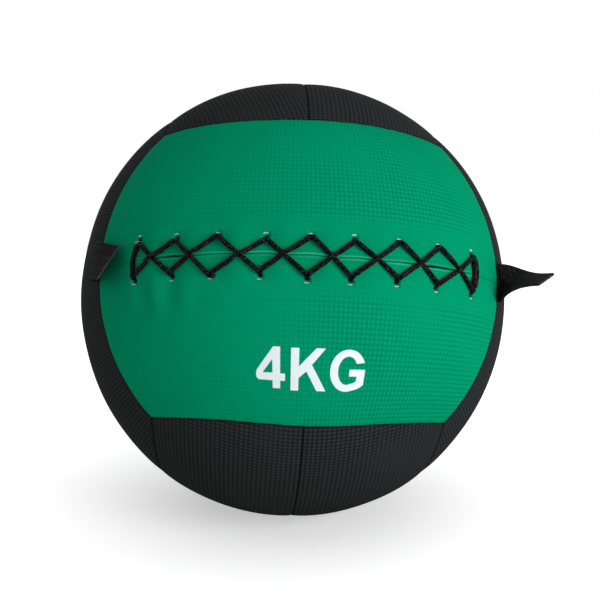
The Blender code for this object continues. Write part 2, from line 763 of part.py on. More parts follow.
hollow_radius = CORE_MOUTH_RADIUS + LAYER_GAP
hollow_top = mouth_height + LAYER_GAP
shoulder, *hollow_round = core_profile(LAYER_GAP)
shoulder_share = (hollow_radius - shoulder[0]) / (hollow_round[0][0] - shoulder[0])
shoulder_height = shoulder[1] + (hollow_round[0][1] - shoulder[1]) * shoulder_share
hollow_neck = [(0, hollow_top), (hollow_radius, hollow_top), (hollow_radius, shoulder_height)]
hollow_profile = hollow_neck + hollow_round
core_hollow = add_turned("core_hollow", hollow_profile, None, cutters)
core_hollow.hide_render = True
core_hollow.display_type = "WIRE"

for half_name, half_side in (("upper", 1), ("lower", -1)):
    half = whole_ball(STUFFING_DEPTH)
    everything = half.verts[:] + half.edges[:] + half.faces[:]
    bmesh.ops.bisect_plane(
        half, geom=everything, dist=WELD, plane_co=UNIT_Z * half_side * STUFFING_SPLIT / 2,
        plane_no=-UNIT_Z * half_side, clear_outer=True,
    )
    bmesh.ops.holes_fill(half, edges=[edge for edge in half.edges if edge.is_boundary])
    half.normal_update()
    bmesh.ops.recalc_face_normals(half, faces=half.faces)
    stuffing = add_solid("stuffing_" + half_name, half, textile_fill, ball_centre)
    cut(stuffing, core_hollow)
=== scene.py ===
"""Dressed wall ball: embossed cover panels, lacing, pull tabs, a printed weight and the layers inside."""

import math

import bmesh
import bpy
import numpy as np
from mathutils import Matrix, Vector, noise


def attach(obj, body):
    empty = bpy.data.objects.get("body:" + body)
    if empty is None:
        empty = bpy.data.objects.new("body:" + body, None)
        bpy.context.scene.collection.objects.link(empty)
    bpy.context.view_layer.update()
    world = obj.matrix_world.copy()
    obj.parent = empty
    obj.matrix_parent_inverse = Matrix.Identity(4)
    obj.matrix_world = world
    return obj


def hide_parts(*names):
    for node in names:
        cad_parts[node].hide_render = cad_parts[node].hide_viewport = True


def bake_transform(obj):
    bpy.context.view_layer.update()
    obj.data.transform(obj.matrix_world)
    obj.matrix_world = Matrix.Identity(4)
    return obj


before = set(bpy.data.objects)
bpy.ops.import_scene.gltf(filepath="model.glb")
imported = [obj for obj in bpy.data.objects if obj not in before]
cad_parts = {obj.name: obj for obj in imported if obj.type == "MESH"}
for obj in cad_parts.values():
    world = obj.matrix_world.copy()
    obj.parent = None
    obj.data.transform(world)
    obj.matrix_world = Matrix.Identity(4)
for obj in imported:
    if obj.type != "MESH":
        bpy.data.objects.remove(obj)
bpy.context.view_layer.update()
scene = bpy.context.scene


# Camera. It faces the laced front from a little to the left and just above the ball's middle, close enough
# for the panels at the sides to turn away strongly.
BALL_CENTRE = Vector((0, 0, 0.17432))
VIEW_AZIMUTH = math.radians(-3.1)
VIEW_ELEVATION = math.radians(5)
VIEW_DISTANCE = 0.665
AIM_ASIDE = 0.0056

camera_data = bpy.data.cameras.new("camera")
camera_data.lens = 47.3
camera_data.clip_start = 0.01
camera = bpy.data.objects.new("camera", camera_data)
scene.collection.objects.link(camera)
scene.camera = camera
toward_camera = Vector((
    math.sin(VIEW_AZIMUTH) * math.cos(VIEW_ELEVATION),
    -math.cos(VIEW_AZIMUTH) * math.cos(VIEW_ELEVATION),
    math.sin(VIEW_ELEVATION),
))
camera.location = BALL_CENTRE + toward_camera * VIEW_DISTANCE
to_right = Vector((0, 0, 1)).cross(toward_camera).normalized()
sight = BALL_CENTRE + to_right * AIM_ASIDE - camera.location
camera.rotation_euler = sight.to_track_quat("-Z", "Y").to_euler()


# Embossed synthetic leather, a polyurethane skin on a pale knitted backing. Rollers press a grid of small
# squares into it, and the light on the squares and the shade in the grooves between them are also painted
# into its colour.
EMBOSS_PITCH = 0.0032
EMBOSS_DEPTH = 0.0003
GRAIN_SIZE = 0.0005
PATCH_SIZE = 0.06
SEAM_SHADE = 0.0016


def linear(code):
    """Linear colour of an sRGB hex code."""
    values = [int(code[place:place + 2], 16) / 255 for place in (0, 2, 4)]
    return [value / 12.92 if value <= 0.04045 else ((value + 0.055) / 1.055) ** 2.4 for value in values] + [1]


def add_node(tree, kind, inputs=(), output=0, **settings):
    """Add a shader node with its settings and its inputs' values and links, and return one of its outputs."""
    made = tree.nodes.new("ShaderNode" + kind)
    for setting, value in settings.items():
        setattr(made, setting, value)
    for socket, value in inputs.items() if isinstance(inputs, dict) else enumerate(inputs):
        if isinstance(value, bpy.types.NodeSocket):
            tree.links.new(value, made.inputs[socket])
        else:
            made.inputs[socket].default_value = value
    return made.outputs[output]


def new_finish(name, roughness, specular=0.5):
    """Material with a plain roughness and specular level, its node tree, its shader and the place on it."""
    material = bpy.data.materials.new(name)
    material.use_nodes = True
    tree = material.node_tree
    shader = tree.nodes["Principled BSDF"]
    shader.inputs["Roughness"].default_value = roughness
    shader.inputs["Specular IOR Level"].default_value = specular
    return material, tree, shader, add_node(tree, "TexCoord", output="Object")


def give_finish(tree, shader, code, shades, *reliefs):
    """Lay shades over a colour, each by its share, and raise reliefs, finest first. A negative one sinks."""
    colour = linear(code)
    for share, shade_code in shades:
        colour = add_node(tree, "Mix", {0: share, 6: colour, 7: linear(shade_code)}, 2, data_type="RGBA")
    tree.links.new(colour, shader.inputs["Base Color"])
    under = {}
    for height, depth in reliefs:
        layer = {"Height": height, "Distance": abs(depth), **under}
        under = {"Normal": add_node(tree, "Bump", layer, invert=depth < 0)}
    tree.links.new(under["Normal"], shader.inputs["Normal"])


def ridges(tree, phase):
    """Even ridges from 0 to 1 along a phase, one for each half turn."""
    return add_node(tree, "Math", [add_node(tree, "Math", [phase], operation="SINE")], operation="ABSOLUTE")


def pattern_axes(tree):
    """The two coordinates of a piece's flat pattern."""
    flat = add_node(tree, "UVMap", uv_map="pattern")
    return add_node(tree, "SeparateXYZ", [flat]).node.outputs[:2]


def leatherette(name, lit_skin_code, groove_shade_code, patch_code, edge_highlight_code):
    """Embossed leatherette: painted light and shade on squares, grooves and seams, patches and lip
    highlights.
    """
    material, tree, shader, place = new_finish(name, 0.7, 0.006)
    rows, columns = (
        ridges(tree, add_node(tree, "Math", (along, math.pi / EMBOSS_PITCH), operation="MULTIPLY"))
        for along in pattern_axes(tree)
    )
    dots = add_node(tree, "Math", (rows, columns), operation="MULTIPLY")
    patches = add_node(tree, "TexNoise", {"Vector": place, "Scale": 1 / PATCH_SIZE, "Detail": 3})
    grain = add_node(tree, "TexNoise", {"Vector": place, "Scale": 1 / GRAIN_SIZE, "Detail": 2})
    crispness, from_seam, edge_highlight = (
        add_node(tree, "Attribute", output="Fac", attribute_name=value_name)
        for value_name in ("crispness", "from_seam", "edge_highlight")
    )
    kept = add_node(tree, "MapRange", (patches, 0.36, 0.6, 0.3, 1))
    crispness = add_node(tree, "Math", (crispness, kept), operation="MULTIPLY")
    pressed = add_node(tree, "Math", (dots, crispness), operation="MULTIPLY")
    unpressed = add_node(tree, "Math", (1, crispness), operation="SUBTRACT")
    # Painted light and shade: the crests of the squares lighter, the grooves between them darker.
    lit = add_node(tree, "Math", (unpressed, 0.5, pressed), operation="MULTIPLY_ADD")
    wear_and_highlight = add_node(tree, "MapRange", (patches, 0.45, 0.75, 0, 0.5))
    # Painted shade along the seams, in the dark groove colour.
    painted_seam_shade = add_node(tree, "MapRange", (from_seam, 0, SEAM_SHADE, 0.5, 0))
    shades = ((lit, lit_skin_code), (wear_and_highlight, patch_code), (painted_seam_shade, groove_shade_code), (edge_highlight, edge_highlight_code))
    give_finish(tree, shader, groove_shade_code, shades, (grain, EMBOSS_DEPTH / 5), (pressed, EMBOSS_DEPTH))
    tree.links.new(add_node(tree, "MapRange", (grain, 0.3, 0.7, 0.66, 0.78)), shader.inputs["Roughness"])
    return material


# Colours: lit squares, shaded grooves and seams, faint patches, and the painted highlight on the lips.
green_leatherette = leatherette("green_pu_leatherette", "009C6F", "00744F", "00845C", "52C8A0")
black_leatherette = leatherette("black_pu_leatherette", "373A3A", "101313", "272A2A", "4A4E4E")


# Knitted polyester backing, the pale inner side of the leatherette. It shows on cut edges and in the punched
# holes as a light, matt rim with short loops.
KNIT_PITCH = 0.0008


def knit(name, thread_code, hollow_shade_code, pitch):
    """Matt cloth with a small even knit or weave on Object coordinates, its hollows painted darker as shade.
    """
    material, tree, shader, place = new_finish(name, 0.85, 0.1)
    loops = add_node(tree, "TexVoronoi", {"Vector": place, "Scale": 1 / pitch, "Randomness": 0.35})
    threads = add_node(tree, "TexNoise", {"Vector": place, "Scale": 2 / pitch, "Detail": 2})
    share = add_node(tree, "MapRange", (loops, 0.15, 0.6))
    give_finish(tree, shader, thread_code, [(share, hollow_shade_code)], (threads, pitch / 12), (loops, -pitch / 6))
    return material


pale_knit = knit("pale_knitted_backing", "F0F4F1", "B4BCB7", KNIT_PITCH)


# Cover panels. Each is cut flat from leatherette, with an allowance that turns in at the seam, and twelve of
# them are sewn inside out in six pairs. The filling then presses them round, and each seam lies in a groove.
# The two front panels are hemmed and punched for the lace, and their rolled lips meet at the slit.
BALL_RADIUS = 0.175
CORNER_FULLNESS = 0.04
ROUND_FULLNESS = 0.85
TALLNESS = 0.014
EDGE_FLATNESS = 0.05
PITCH = math.radians(14.3)
ROLL = math.radians(2)
COVER_THICK = 0.0012
SEAM_HALF_GAP = 0.00015
SEAM_ROLL = 0.0011
SEAM_ALLOWANCE = 0.008
SEAM_DIP = 0.0006
SEAM_DIP_REACH = 0.007
WAIST = 0.013
WAIST_RIGHT = 0.006
WAIST_FRONT = (-0.1, 0.4)
WAIST_FOOT = (-0.95, -0.6)
SEAM_BOW = {1: (0.008, math.radians(13), -0.007), -1: (0.036, math.radians(2), -0.006)}
SEAM_BOW_WIDTH = math.radians(22)
SEAM_BOW_REACH = math.radians(13)
PUCKER_LENGTH = 0.009
PUCKER_HEIGHT = 0.0003
PUCKER_REACH = 0.006
SWELL_LENGTH = 0.055
SWELL_HEIGHT = 0.0007
SWELL_START = 0.02
LIP_ROLL = 0.0006
LIP_TURN = 0.0024
LIP_PARTING_REACH = 0.009
TAB_RISES = {-1: 0.0062, 1: 0.0001}
TAB_HALF_WIDTH = 0.014
TAB_PARTING = 0.0011
TAB_PARTING_REACH = 0.005
TAB_PARTING_EDGE = 0.0006
EDGE_PLACES = np.array([0, 0.12, 0.3, 0.6, 1, 1.5, 2.1, 2.8, 3.6]) / 1000
PLAIN_GRID = (132, 52)
LACED_GRID = (270, 100)
FACE_ANGLE = math.acos(math.sqrt(1 / 3))
STRIP_RISE = math.asin(math.sqrt(1 / 3)) * BALL_RADIUS
HOLE_PITCH = 0.0305
HOLE_RADIUS = 0.0024
HOLES = {
    1: np.array([
        (-120.6, 16.2), (-89.8, 14.5), (-60.2, 13.5), (-28.4, 12.9), (0.6, 12.9),
        (29.1, 13.4), (60.2, 13.3), (91.2, 13.6), (125.2, 14.8),
    ]) / 1000,
    -1: np.array([
        (-123.5, 12.9), (-92.5, 12.7), (-64, 13), (-31.9, 13.7), (-1.6, 15.6),
        (26.8, 15.6), (58.6, 14.5), (89.3, 15.2), (123.7, 15.6),
    ]) / 1000,
}
HOLE_SIDES = 20
HOLE_ROLL = ((0.0001, 0.0001, 0), (0.0006, 0.0005, 1), (0.0020, 0.0010, 0))
CREASES = {
    1: [(0.0005, (-143, 11), (-130, 12.5), 1.1)],
    -1: [(0.0006, (-138, 5), (-130, 2), 1), (0.0004, (-127, 12), (-124, 24), 1.6)],
}
PATTERN_TURN = {"top_left": math.radians(-12)}
HEM_RISE = 0.029
HEM_GROOVE = 0.0004
CRISP_ASIDE = (-0.11, 0.08)
CRISP_RISE = (0.02, 0.034)
HOLE_DENT = (0, 0.0042, -0.0008)
HOLE_CREST = (0.0037, 0.0009, 0.00035)
LACED_HALF = 0.127
LIP_CREST = (0.0012, 0.0009, 0.0005)
LIP_SWELL = (0, 0.006, 0.0006)
PAIR_DIP = (0.011, 0.009, 0.0006)
FOLDS_ASIDE = (-0.100, 0.026, 0.0011)
FOLDS_RISE = (0.024, 0.011)
FOLDS_START = 0.007
FOLD_PITCH = 0.0118
SLIT_SAG = 0.0009
SLIT_ARCH = (0, 0.1, 0.0004)
SLIT_GAPS = ((-0.090, 0.012, 0.0005), (0.087, 0.018, 0.0006))
# Painted highlight along the slit's lips: its least share, a stretch where it is stronger, its place across
# the lip.
LIP_HIGHLIGHT = {1: (0.1, (-0.01, 0.06, 0.45), (0.0008, 0.0004)), -1: (0.05, (0.06, 0.05, 0.4), (0.0013, 0.0004))}
X_AXIS, Y_AXIS, Z_AXIS = np.eye(3)
PANELS = {
    "front_upper": (-Y_AXIS, Z_AXIS), "front_lower": (-Y_AXIS, -Z_AXIS),
    "back_upper": (Y_AXIS, Z_AXIS), "back_lower": (Y_AXIS, -Z_AXIS),
    "top_left": (Z_AXIS, -X_AXIS), "top_right": (Z_AXIS, X_AXIS),
    "bottom_left": (-Z_AXIS, -X_AXIS), "bottom_right": (-Z_AXIS, X_AXIS),
    "left_front": (-X_AXIS, -Y_AXIS), "left_back": (-X_AXIS, Y_AXIS),
    "right_front": (X_AXIS, -Y_AXIS), "right_back": (X_AXIS, Y_AXIS),
}
LACED = {"front_upper": 1, "front_lower": -1}
lean = np.array(Matrix.Rotation(ROLL, 3, "Y") @ Matrix.Rotation(-PITCH, 3, "X"))


def near(value, middle, width, height=1):
    """Soft bump of a height round a middle value."""
    return height * np.exp(-((value - middle) / width) ** 2)


def eased(value, low, high):
    """Smooth share from 0 at the low value to 1 at the high one."""
    share = np.clip((value - low) / (high - low), 0, 1)
    return share * share * (3 - 2 * share)


def skin_radius(directions):
    """Distance from the ball's centre to its cover, along unit directions."""
    x, y, z = directions.T
    fullness = CORNER_FULLNESS * (ROUND_FULLNESS - (directions ** 4).sum(axis=-1))
    flatness = EDGE_FLATNESS * x ** 2 * z ** 2
    waist = (WAIST + WAIST_RIGHT * x) * near(y, *WAIST_FRONT) * eased(z, *WAIST_FOOT)
    return BALL_RADIUS * (1 + fullness + TALLNESS * (z ** 2 - 1 / 3) - flatness - waist)


def unit(vectors):
    """Vectors at unit length."""
    return vectors / (np.linalg.norm(vectors, axis=1)[:, None] + 1e-12)


def stand(points, depth=0):
    """Lean points of the ball's own frame back, set them on the floor and press them flat on it."""
    standing = points @ lean.T + np.array(BALL_CENTRE)
    standing[:, 2] = np.maximum(standing[:, 2], depth)
    return standing


def on_skin(directions, height, depth=0):
    """Places at a height over the skin, along directions, on the standing ball."""
    return stand(directions * (skin_radius(directions) + height)[:, None], depth)


def places(sheet):
    """Coordinates of a bmesh's vertices."""
    return np.array([vert.co for vert in sheet.verts])


def move_to(sheet, points):
    """Move a bmesh's vertices to points."""
    for vert, point in zip(sheet.verts, points):
        vert.co = point


def pattern_direction(panel, along, rise):
    """Unit directions of places on a panel's flat pattern."""
    normal, across = PANELS[panel]
    sideways = np.cross(across, normal)
    lon, lat = along / BALL_RADIUS, rise / BALL_RADIUS
    level = np.cos(lon)[:, None] * normal + np.sin(lon)[:, None] * sideways
    return np.cos(lat)[:, None] * level + np.sin(lat)[:, None] * across


def side_limit(rise, inset):
    """Half of a pattern's width at a rise, less an inset from the curved side seam."""
    return np.arccos(np.cos(FACE_ANGLE - inset / BALL_RADIUS) / np.cos(rise / BALL_RADIUS)) * BALL_RADIUS


def pattern_grid(columns, rows, low, high, inset, edges=EDGE_PLACES):
    """Flat pattern of a panel: a grid whose lines crowd at the rims, with one of its rows on the hem."""
    grid = bmesh.new()
    bmesh.ops.create_grid(grid, x_segments=columns, y_segments=rows, size=1)
    steps = len(edges) - 1
    middle_rises = np.linspace(low + edges[-1], high - edges[-1], rows + 1 - 2 * steps)
    rises = np.concatenate([low + edges[:-1], middle_rises, high - edges[:-1][::-1]])
    rises[np.abs(rises - HEM_RISE).argmin()] = HEM_RISE
    for vert in grid.verts:
        column = round((vert.co.x + 1) / 2 * columns)
        rise = rises[round((vert.co.y + 1) / 2 * rows)]
        from_side = min(column, columns - column)
        if from_side < steps:
            along = math.copysign(side_limit(rise, inset + edges[from_side]), vert.co.x)
        else:
            share = (column - steps) / (columns - 2 * steps) * 2 - 1
            along = share * side_limit(rise, inset + edges[-1])
        vert.co = (along, rise, 0)
    return grid


def punch(sheet, along, rise, radius):
    """Cut a round hole in a flat pattern and return the edges round it."""
    centre = Vector((along, rise, 0))
    around = [face for face in sheet.faces if (face.calc_center_median() - centre).length < radius * 2]
    geometry = list({item for face in around for item in (face, *face.edges, *face.verts)})
    turns = np.arange(HOLE_SIDES) * math.tau / HOLE_SIDES
    walls = [Vector((math.cos(turn), math.sin(turn), 0)) for turn in turns]
    for wall in walls:
        cut = bmesh.ops.bisect_plane(
            sheet, geom=geometry, dist=1e-6, plane_co=centre + wall * radius, plane_no=wall,
        )
        geometry = cut["geom"]
    inside = {
        item for item in geometry if isinstance(item, bmesh.types.BMFace)
        and all((item.calc_center_median() - centre).dot(wall) < radius for wall in walls)
    }
    rim = [
        edge for edge in {edge for face in inside for edge in face.edges}
        if sum(face in inside for face in edge.link_faces) == 1
    ]
    bmesh.ops.delete(sheet, geom=list(inside), context="FACES")
    return [edge for edge in rim if edge.is_valid]


def made_of(made, kind):
    """Items of a kind among what an operator made."""
    return [item for item in made["geom"] if isinstance(item, kind)]


def uneven(points, size):
    """Smooth random heights from -1 to 1 at points, with swells of a size."""
    return np.array([noise.noise(Vector(point) / size) for point in points])


def bow_seams(directions):
    """Shift the seams above and below the front and back, which the filling bows out at their middles."""
    lat = np.arcsin(np.clip(directions[:, 2], -1, 1))
    lon = np.arctan2(directions[:, 0], np.abs(directions[:, 1]))
    shift = np.zeros(len(lat))
    for side, (height, middle, ends) in SEAM_BOW.items():
        bow = height * near(lon, middle, SEAM_BOW_WIDTH) + ends * near(lon, 0, 2 * SEAM_BOW_WIDTH)
        shift += side * bow * near(lat, side * STRIP_RISE / BALL_RADIUS, SEAM_BOW_REACH)
    level = unit(directions * [1, 1, 0])
    return level * np.cos(lat + shift)[:, None] + Z_AXIS * np.sin(lat + shift)[:, None]


def crease(aside, rise, start, end, width):
    """Soft ridge from 0 to 1 along a straight line on the front, in millimetres."""
    run = np.array(end) - start
    from_start = np.stack([aside * 1000 - start[0], rise * 1000 - start[1]], axis=-1)
    share = np.clip(from_start @ run / (run @ run), 0, 1)
    return np.exp(-(np.linalg.norm(from_start - share[:, None] * run, axis=-1) / width) ** 2)


def slit_line(aside):
    """Height of the slit over a straight line: it dips to the right and arches at each pair of holes."""
    return np.cos(aside / HOLE_PITCH * math.tau) * near(aside, *SLIT_ARCH) - SLIT_SAG * np.tanh(aside / 0.03)


def slit_opening(aside):
    """Half of the gap between the lips of the slit: closed but for two stretches near its ends."""
    return 0.00001 + sum(near(aside, *gap) for gap in SLIT_GAPS)


def lip_highlight(aside, rise, row):
    """Share of the painted highlight along the crest of a lip of the slit."""
    least, wear_and_highlight, crest = LIP_HIGHLIGHT[row]
    arch = 0.7 + 0.3 * np.cos(aside / HOLE_PITCH * math.tau)
    return (least + near(aside, *wear_and_highlight)) * arch * near(rise, *crest) * (np.abs(aside) < LACED_HALF - 0.002)


def lacing_relief(aside, rise, row):
    """Lips, dents at the holes and folds that the lace pulls into the front, on a row's side of the slit."""
    from_hole = np.linalg.norm(np.stack([aside, rise], axis=1)[:, None] - HOLES[row], axis=2).min(axis=1)
    laced = 1 / (1 + np.exp((np.abs(aside) - LACED_HALF) / 0.004))
    height = near(from_hole, *HOLE_DENT) + near(from_hole, *HOLE_CREST)
    height += laced * (near(rise, *LIP_CREST) + near(rise, *LIP_SWELL))
    height -= laced * np.cos(aside / HOLE_PITCH * math.tau) * near(rise, *PAIR_DIP)
    height -= HEM_GROOVE * (rise == HEM_RISE)
    for size, start, end, width in CREASES[row]:
        height += size * crease(aside, rise, start, end, width)
    if row < 0:
        folds = near(aside, *FOLDS_ASIDE) * near(rise, *FOLDS_RISE)
        height += folds * np.sin((aside - FOLDS_START) / FOLD_PITCH * math.pi)
    return height


def side_distance(panel, directions):
    """Distance of places on a panel from its curved side seam."""
    return (FACE_ANGLE - np.arccos(np.clip(directions @ PANELS[panel][0], -1, 1))) * BALL_RADIUS


def seam_distance(panel, directions, rise):
    """Distance of places on a panel from their nearest seam. The slit isn't one."""
    from_seam = np.minimum(side_distance(panel, directions), STRIP_RISE - rise)
    if panel not in LACED:
        from_seam = np.minimum(from_seam, rise)
    return np.maximum(0, from_seam)


def cover_height(panel, along, rise):
    """Height of a panel's skin over the plain form of the ball, at places on its pattern."""
    directions = pattern_direction(panel, along, rise)
    from_seam = seam_distance(panel, directions, rise)
    at_seam, pucker_fade, swell_fade = (
        np.exp(-from_seam / reach) for reach in (SEAM_DIP_REACH, PUCKER_REACH, SWELL_START)
    )
    height = -SEAM_DIP * at_seam
    height += PUCKER_HEIGHT * pucker_fade * uneven(directions * BALL_RADIUS, PUCKER_LENGTH)
    height += SWELL_HEIGHT * (1 - swell_fade) * uneven(directions * BALL_RADIUS, SWELL_LENGTH)
    if panel in LACED:
        height += lacing_relief(along * LACED[panel], rise, LACED[panel])
    return height


def roll_in(inside, radius):
    """Drop of a rim that rolls in, by the distance from its edge."""
    return math.sqrt(radius ** 2 - (radius - inside) ** 2) - radius if inside < radius else 0


def give_pattern(sheet, flat):
    """Keep the flat places of a bmesh's vertices as its UV."""
    pattern = sheet.loops.layers.uv.new("pattern")
    sheet.verts.index_update()
    for face in sheet.faces:
        for loop in face.loops:
            loop[pattern].uv = flat[loop.vert.index]


def cover_sheet(panel):
    """Flat skin of a panel, punched for the lace, with its rims rolled in."""
    laced = panel in LACED
    low = 0 if laced else SEAM_HALF_GAP
    grid_size = LACED_GRID if laced else PLAIN_GRID
    sheet = pattern_grid(*grid_size, low, STRIP_RISE - SEAM_HALF_GAP, SEAM_HALF_GAP)
    flat = places(sheet)
    from_side = side_distance(panel, pattern_direction(panel, flat[:, 0], flat[:, 1]))
    for vert, aside in zip(sheet.verts, from_side - SEAM_HALF_GAP):
        rise = vert.co.y
        vert.co.z = roll_in(max(0, min(aside, STRIP_RISE - SEAM_HALF_GAP - rise)), SEAM_ROLL)
        vert.co.z = min(vert.co.z, roll_in(rise - low, LIP_ROLL if laced else SEAM_ROLL))
    turned = bmesh.ops.extrude_edge_only(sheet, edges=[edge for edge in sheet.edges if edge.is_boundary])
    for vert in made_of(turned, bmesh.types.BMVert):
        vert.co.z -= LIP_TURN if laced and vert.co.y < LIP_ROLL else SEAM_ALLOWANCE
    if laced:
        for aside, rise in HOLES[LACED[panel]]:
            edges = punch(sheet, aside * LACED[panel], rise, HOLE_RADIUS)
            centre = Vector((aside * LACED[panel], rise, 0))
            for inward, deeper, cut_edge in HOLE_ROLL:
                rolled = bmesh.ops.extrude_edge_only(sheet, edges=edges)
                for vert in made_of(rolled, bmesh.types.BMVert):
                    away = (vert.co - centre).normalized()
                    vert.co -= away * inward * (0.55 + 0.45 * away.y)
                    vert.co.z -= deeper
                for face in made_of(rolled, bmesh.types.BMFace):
                    far_side = face.calc_center_median().y - centre.y > HOLE_RADIUS * 0.55
                    face.material_index = cut_edge if far_side else 0
                edges = [edge for edge in made_of(rolled, bmesh.types.BMEdge) if edge.is_boundary]
    turn = np.array(Matrix.Rotation(PATTERN_TURN.get(panel, 0), 2))
    give_pattern(sheet, places(sheet)[:, :2] @ turn.T)
    return sheet


def part_for_tab(directions):
    """Part the seam round the webbing of each pull tab."""
    moved = directions.copy()
    for side, tab_rise in TAB_RISES.items():
        off = (np.arccos(np.clip(-moved[:, 1], -1, 1)) - FACE_ANGLE) * BALL_RADIUS
        beside = (np.sign(moved[:, 0]) == side) & (np.abs(off) < 0.03)
        past = np.abs(moved[:, 2] * BALL_RADIUS - tab_rise) - TAB_HALF_WIDTH
        opened = np.exp(-np.abs(off) / TAB_PARTING_REACH) / (1 + np.exp(past / TAB_PARTING_EDGE))
        push = np.where(beside, np.sign(off) * TAB_PARTING * opened, 0)
        angle = FACE_ANGLE + (off + push) / BALL_RADIUS
        turned = unit(moved * [1, 0, 1]) * np.sin(angle)[:, None] - Y_AXIS * np.cos(angle)[:, None]
        moved = np.where((np.abs(push) > 1e-7)[:, None], turned, moved)
    return moved


def press_round(panel, sheet):
    """Bend a flat pattern over the filled ball and return what its finish needs at each point."""
    along, rise, fold = places(sheet).T
    height = cover_height(panel, along, rise)
    from_seam = seam_distance(panel, pattern_direction(panel, along, rise), rise)
    parted = rise
    wear_and_highlight = {"crispness": np.ones(len(rise)), "edge_highlight": np.zeros(len(rise))}
    if panel in LACED:
        aside = along * LACED[panel]
        opened = slit_opening(aside) + slit_line(aside) * LACED[panel]
        parted = rise + opened * np.maximum(0, 1 - rise / LIP_PARTING_REACH)
        # The hem line counts as a seam here, so the painted seam shade draws a dark line along it.
        from_seam = np.minimum(from_seam, 0.0006 + np.abs(rise - HEM_RISE) * 2)
        # The emboss, with its painted light and shade, fades out towards the left and is weak between the
        # slit and the hem.
        across = 0.15 + 0.85 * eased(aside, *CRISP_ASIDE)
        wear_and_highlight["crispness"] = across * (0.25 + 0.75 * eased(rise, *CRISP_RISE))
        # Painted highlight along the crests of the slit's lips.
        wear_and_highlight["edge_highlight"] = lip_highlight(aside, rise, LACED[panel])
    directions = part_for_tab(bow_seams(pattern_direction(panel, along, parted)))
    move_to(sheet, on_skin(directions, height + fold))
    return {"from_seam": from_seam, **wear_and_highlight}


def add_piece(name, sheet, material, slot=None, nodes=(), body="ball"):
    """Smooth object of a bmesh, with its body; given a slot, it hides the CAD nodes it replaces."""
    data = bpy.data.meshes.new(name)
    sheet.to_mesh(data)
    sheet.free()
    data.materials.append(material)
    data.shade_smooth()
    piece = bpy.data.objects.new(name, data)
    scene.collection.objects.link(piece)
    if body:
        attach(piece, body)
    if slot:
        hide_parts(*nodes)
    return piece


def give_values(piece, wear_and_highlight):
    """Per-point values that a piece's finish reads."""
    for name, values in wear_and_highlight.items():
        data = piece.data.attributes.new(name, "FLOAT", "POINT")
        data.data.foreach_set("value", values.astype(np.float32))


def give_wall(piece, thickness, back_material=None, offset=-1):
    """Wall of a sheet, grown inwards or to both sides, with its back and cut edge in a second material."""
    wall = piece.modifiers.new("wall", "SOLIDIFY")
    wall.thickness = thickness
    wall.offset = offset
    wall.use_even_offset = True
    if back_material:
        piece.data.materials.append(back_material)
        wall.material_offset = 1
        wall.material_offset_rim = 1


def face_out(sheet):
    """Turn a sheet's faces away from the ball's middle."""
    sheet.normal_update()
    outward = sum(
        face.normal.dot(face.calc_center_median() - BALL_CENTRE) * face.calc_area() for face in sheet.faces
    )
    if outward < 0:
        bmesh.ops.reverse_faces(sheet, faces=sheet.faces)


for panel in PANELS:
    sheet = cover_sheet(panel)
    wear_and_highlight = press_round(panel, sheet)
    face_out(sheet)
    shade, finish = ("green", green_leatherette) if PANELS[panel][0][1] else ("black", black_leatherette)
    cover = add_piece("cover_panel_" + panel, sheet, finish, shade + "_leatherette", ["cover_" + panel])
    give_values(cover, wear_and_highlight)
    give_wall(cover, COVER_THICK, pale_knit)


# Seam thread, bonded nylon in a lock stitch. The filling opens the seams a little, so short bars of thread
# show at the bottom of each groove.
THREAD_RADIUS = 0.00028
THREAD_TWIST = 2500
STITCH_PITCH = 0.0036
STITCH_REACH = 0.0009
STITCH_DEPTH = 0.0011


def speckled(name, roughness, specular, scale, detail, codes, depth):
    """Finish in two shades with fine specks, which also raise it."""
    material, tree, shader, place = new_finish(name, roughness, specular)
    specks = add_node(tree, "TexNoise", {"Vector": place, "Scale": scale, "Detail": detail})
    give_finish(tree, shader, codes[0], [(specks, codes[1])], (specks, depth))
    return material


def add_stitches(threads, panel, along, rise, drop, reach_along, radius):
    """Bars of thread on a panel's pattern, each reaching along the pattern or across it."""
    directions = bow_seams(pattern_direction(panel, along, rise))
    middles = on_skin(directions, -drop)
    ahead = bow_seams(pattern_direction(panel, along + 0.001 * reach_along, rise + 0.001 * (not reach_along)))
    reaches = (ahead - directions) @ lean.T
    length = reach_along or STITCH_REACH
    for middle, reach in zip(middles, reaches):
        turn = Vector((0, 0, 1)).rotation_difference(Vector(reach)).to_matrix().to_4x4()
        bmesh.ops.create_cone(
            threads, cap_ends=True, segments=6, radius1=radius, radius2=radius, depth=length * 2,
            matrix=Matrix.Translation(middle) @ turn,
        )


seam_threads = bmesh.new()
for panel in PANELS:
    half = side_limit(STRIP_RISE, 0)
    pitch = STITCH_PITCH / math.cos(STRIP_RISE / BALL_RADIUS)
    steps = np.arange(-half + STITCH_PITCH, half - STITCH_PITCH / 2, pitch)
    clear = np.ones(len(steps), bool)
    if panel in ("left_front", "right_front"):
        heights = pattern_direction(panel, steps, np.full(len(steps), STRIP_RISE))[:, 2] * BALL_RADIUS
        clear = np.abs(heights - TAB_RISES[int(PANELS[panel][0][0])]) > TAB_HALF_WIDTH + STITCH_PITCH
    outer = np.full(clear.sum(), STRIP_RISE)
    add_stitches(seam_threads, panel, steps[clear], outer, SEAM_DIP + STITCH_DEPTH, 0, THREAD_RADIUS)
    if panel in ("back_upper", "top_right", "bottom_right", "left_front", "right_front"):
        half = side_limit(0, 0)
        steps = np.arange(-half + STITCH_PITCH, half - STITCH_PITCH / 2, STITCH_PITCH)
        add_stitches(seam_threads, panel, steps, steps * 0, SEAM_DIP + STITCH_DEPTH, 0, THREAD_RADIUS)
black_thread = speckled(
    "black_bonded_nylon_thread", 0.55, 0.3, THREAD_TWIST, 1, ("0C0D0E", "222426"), THREAD_RADIUS / 5,
)
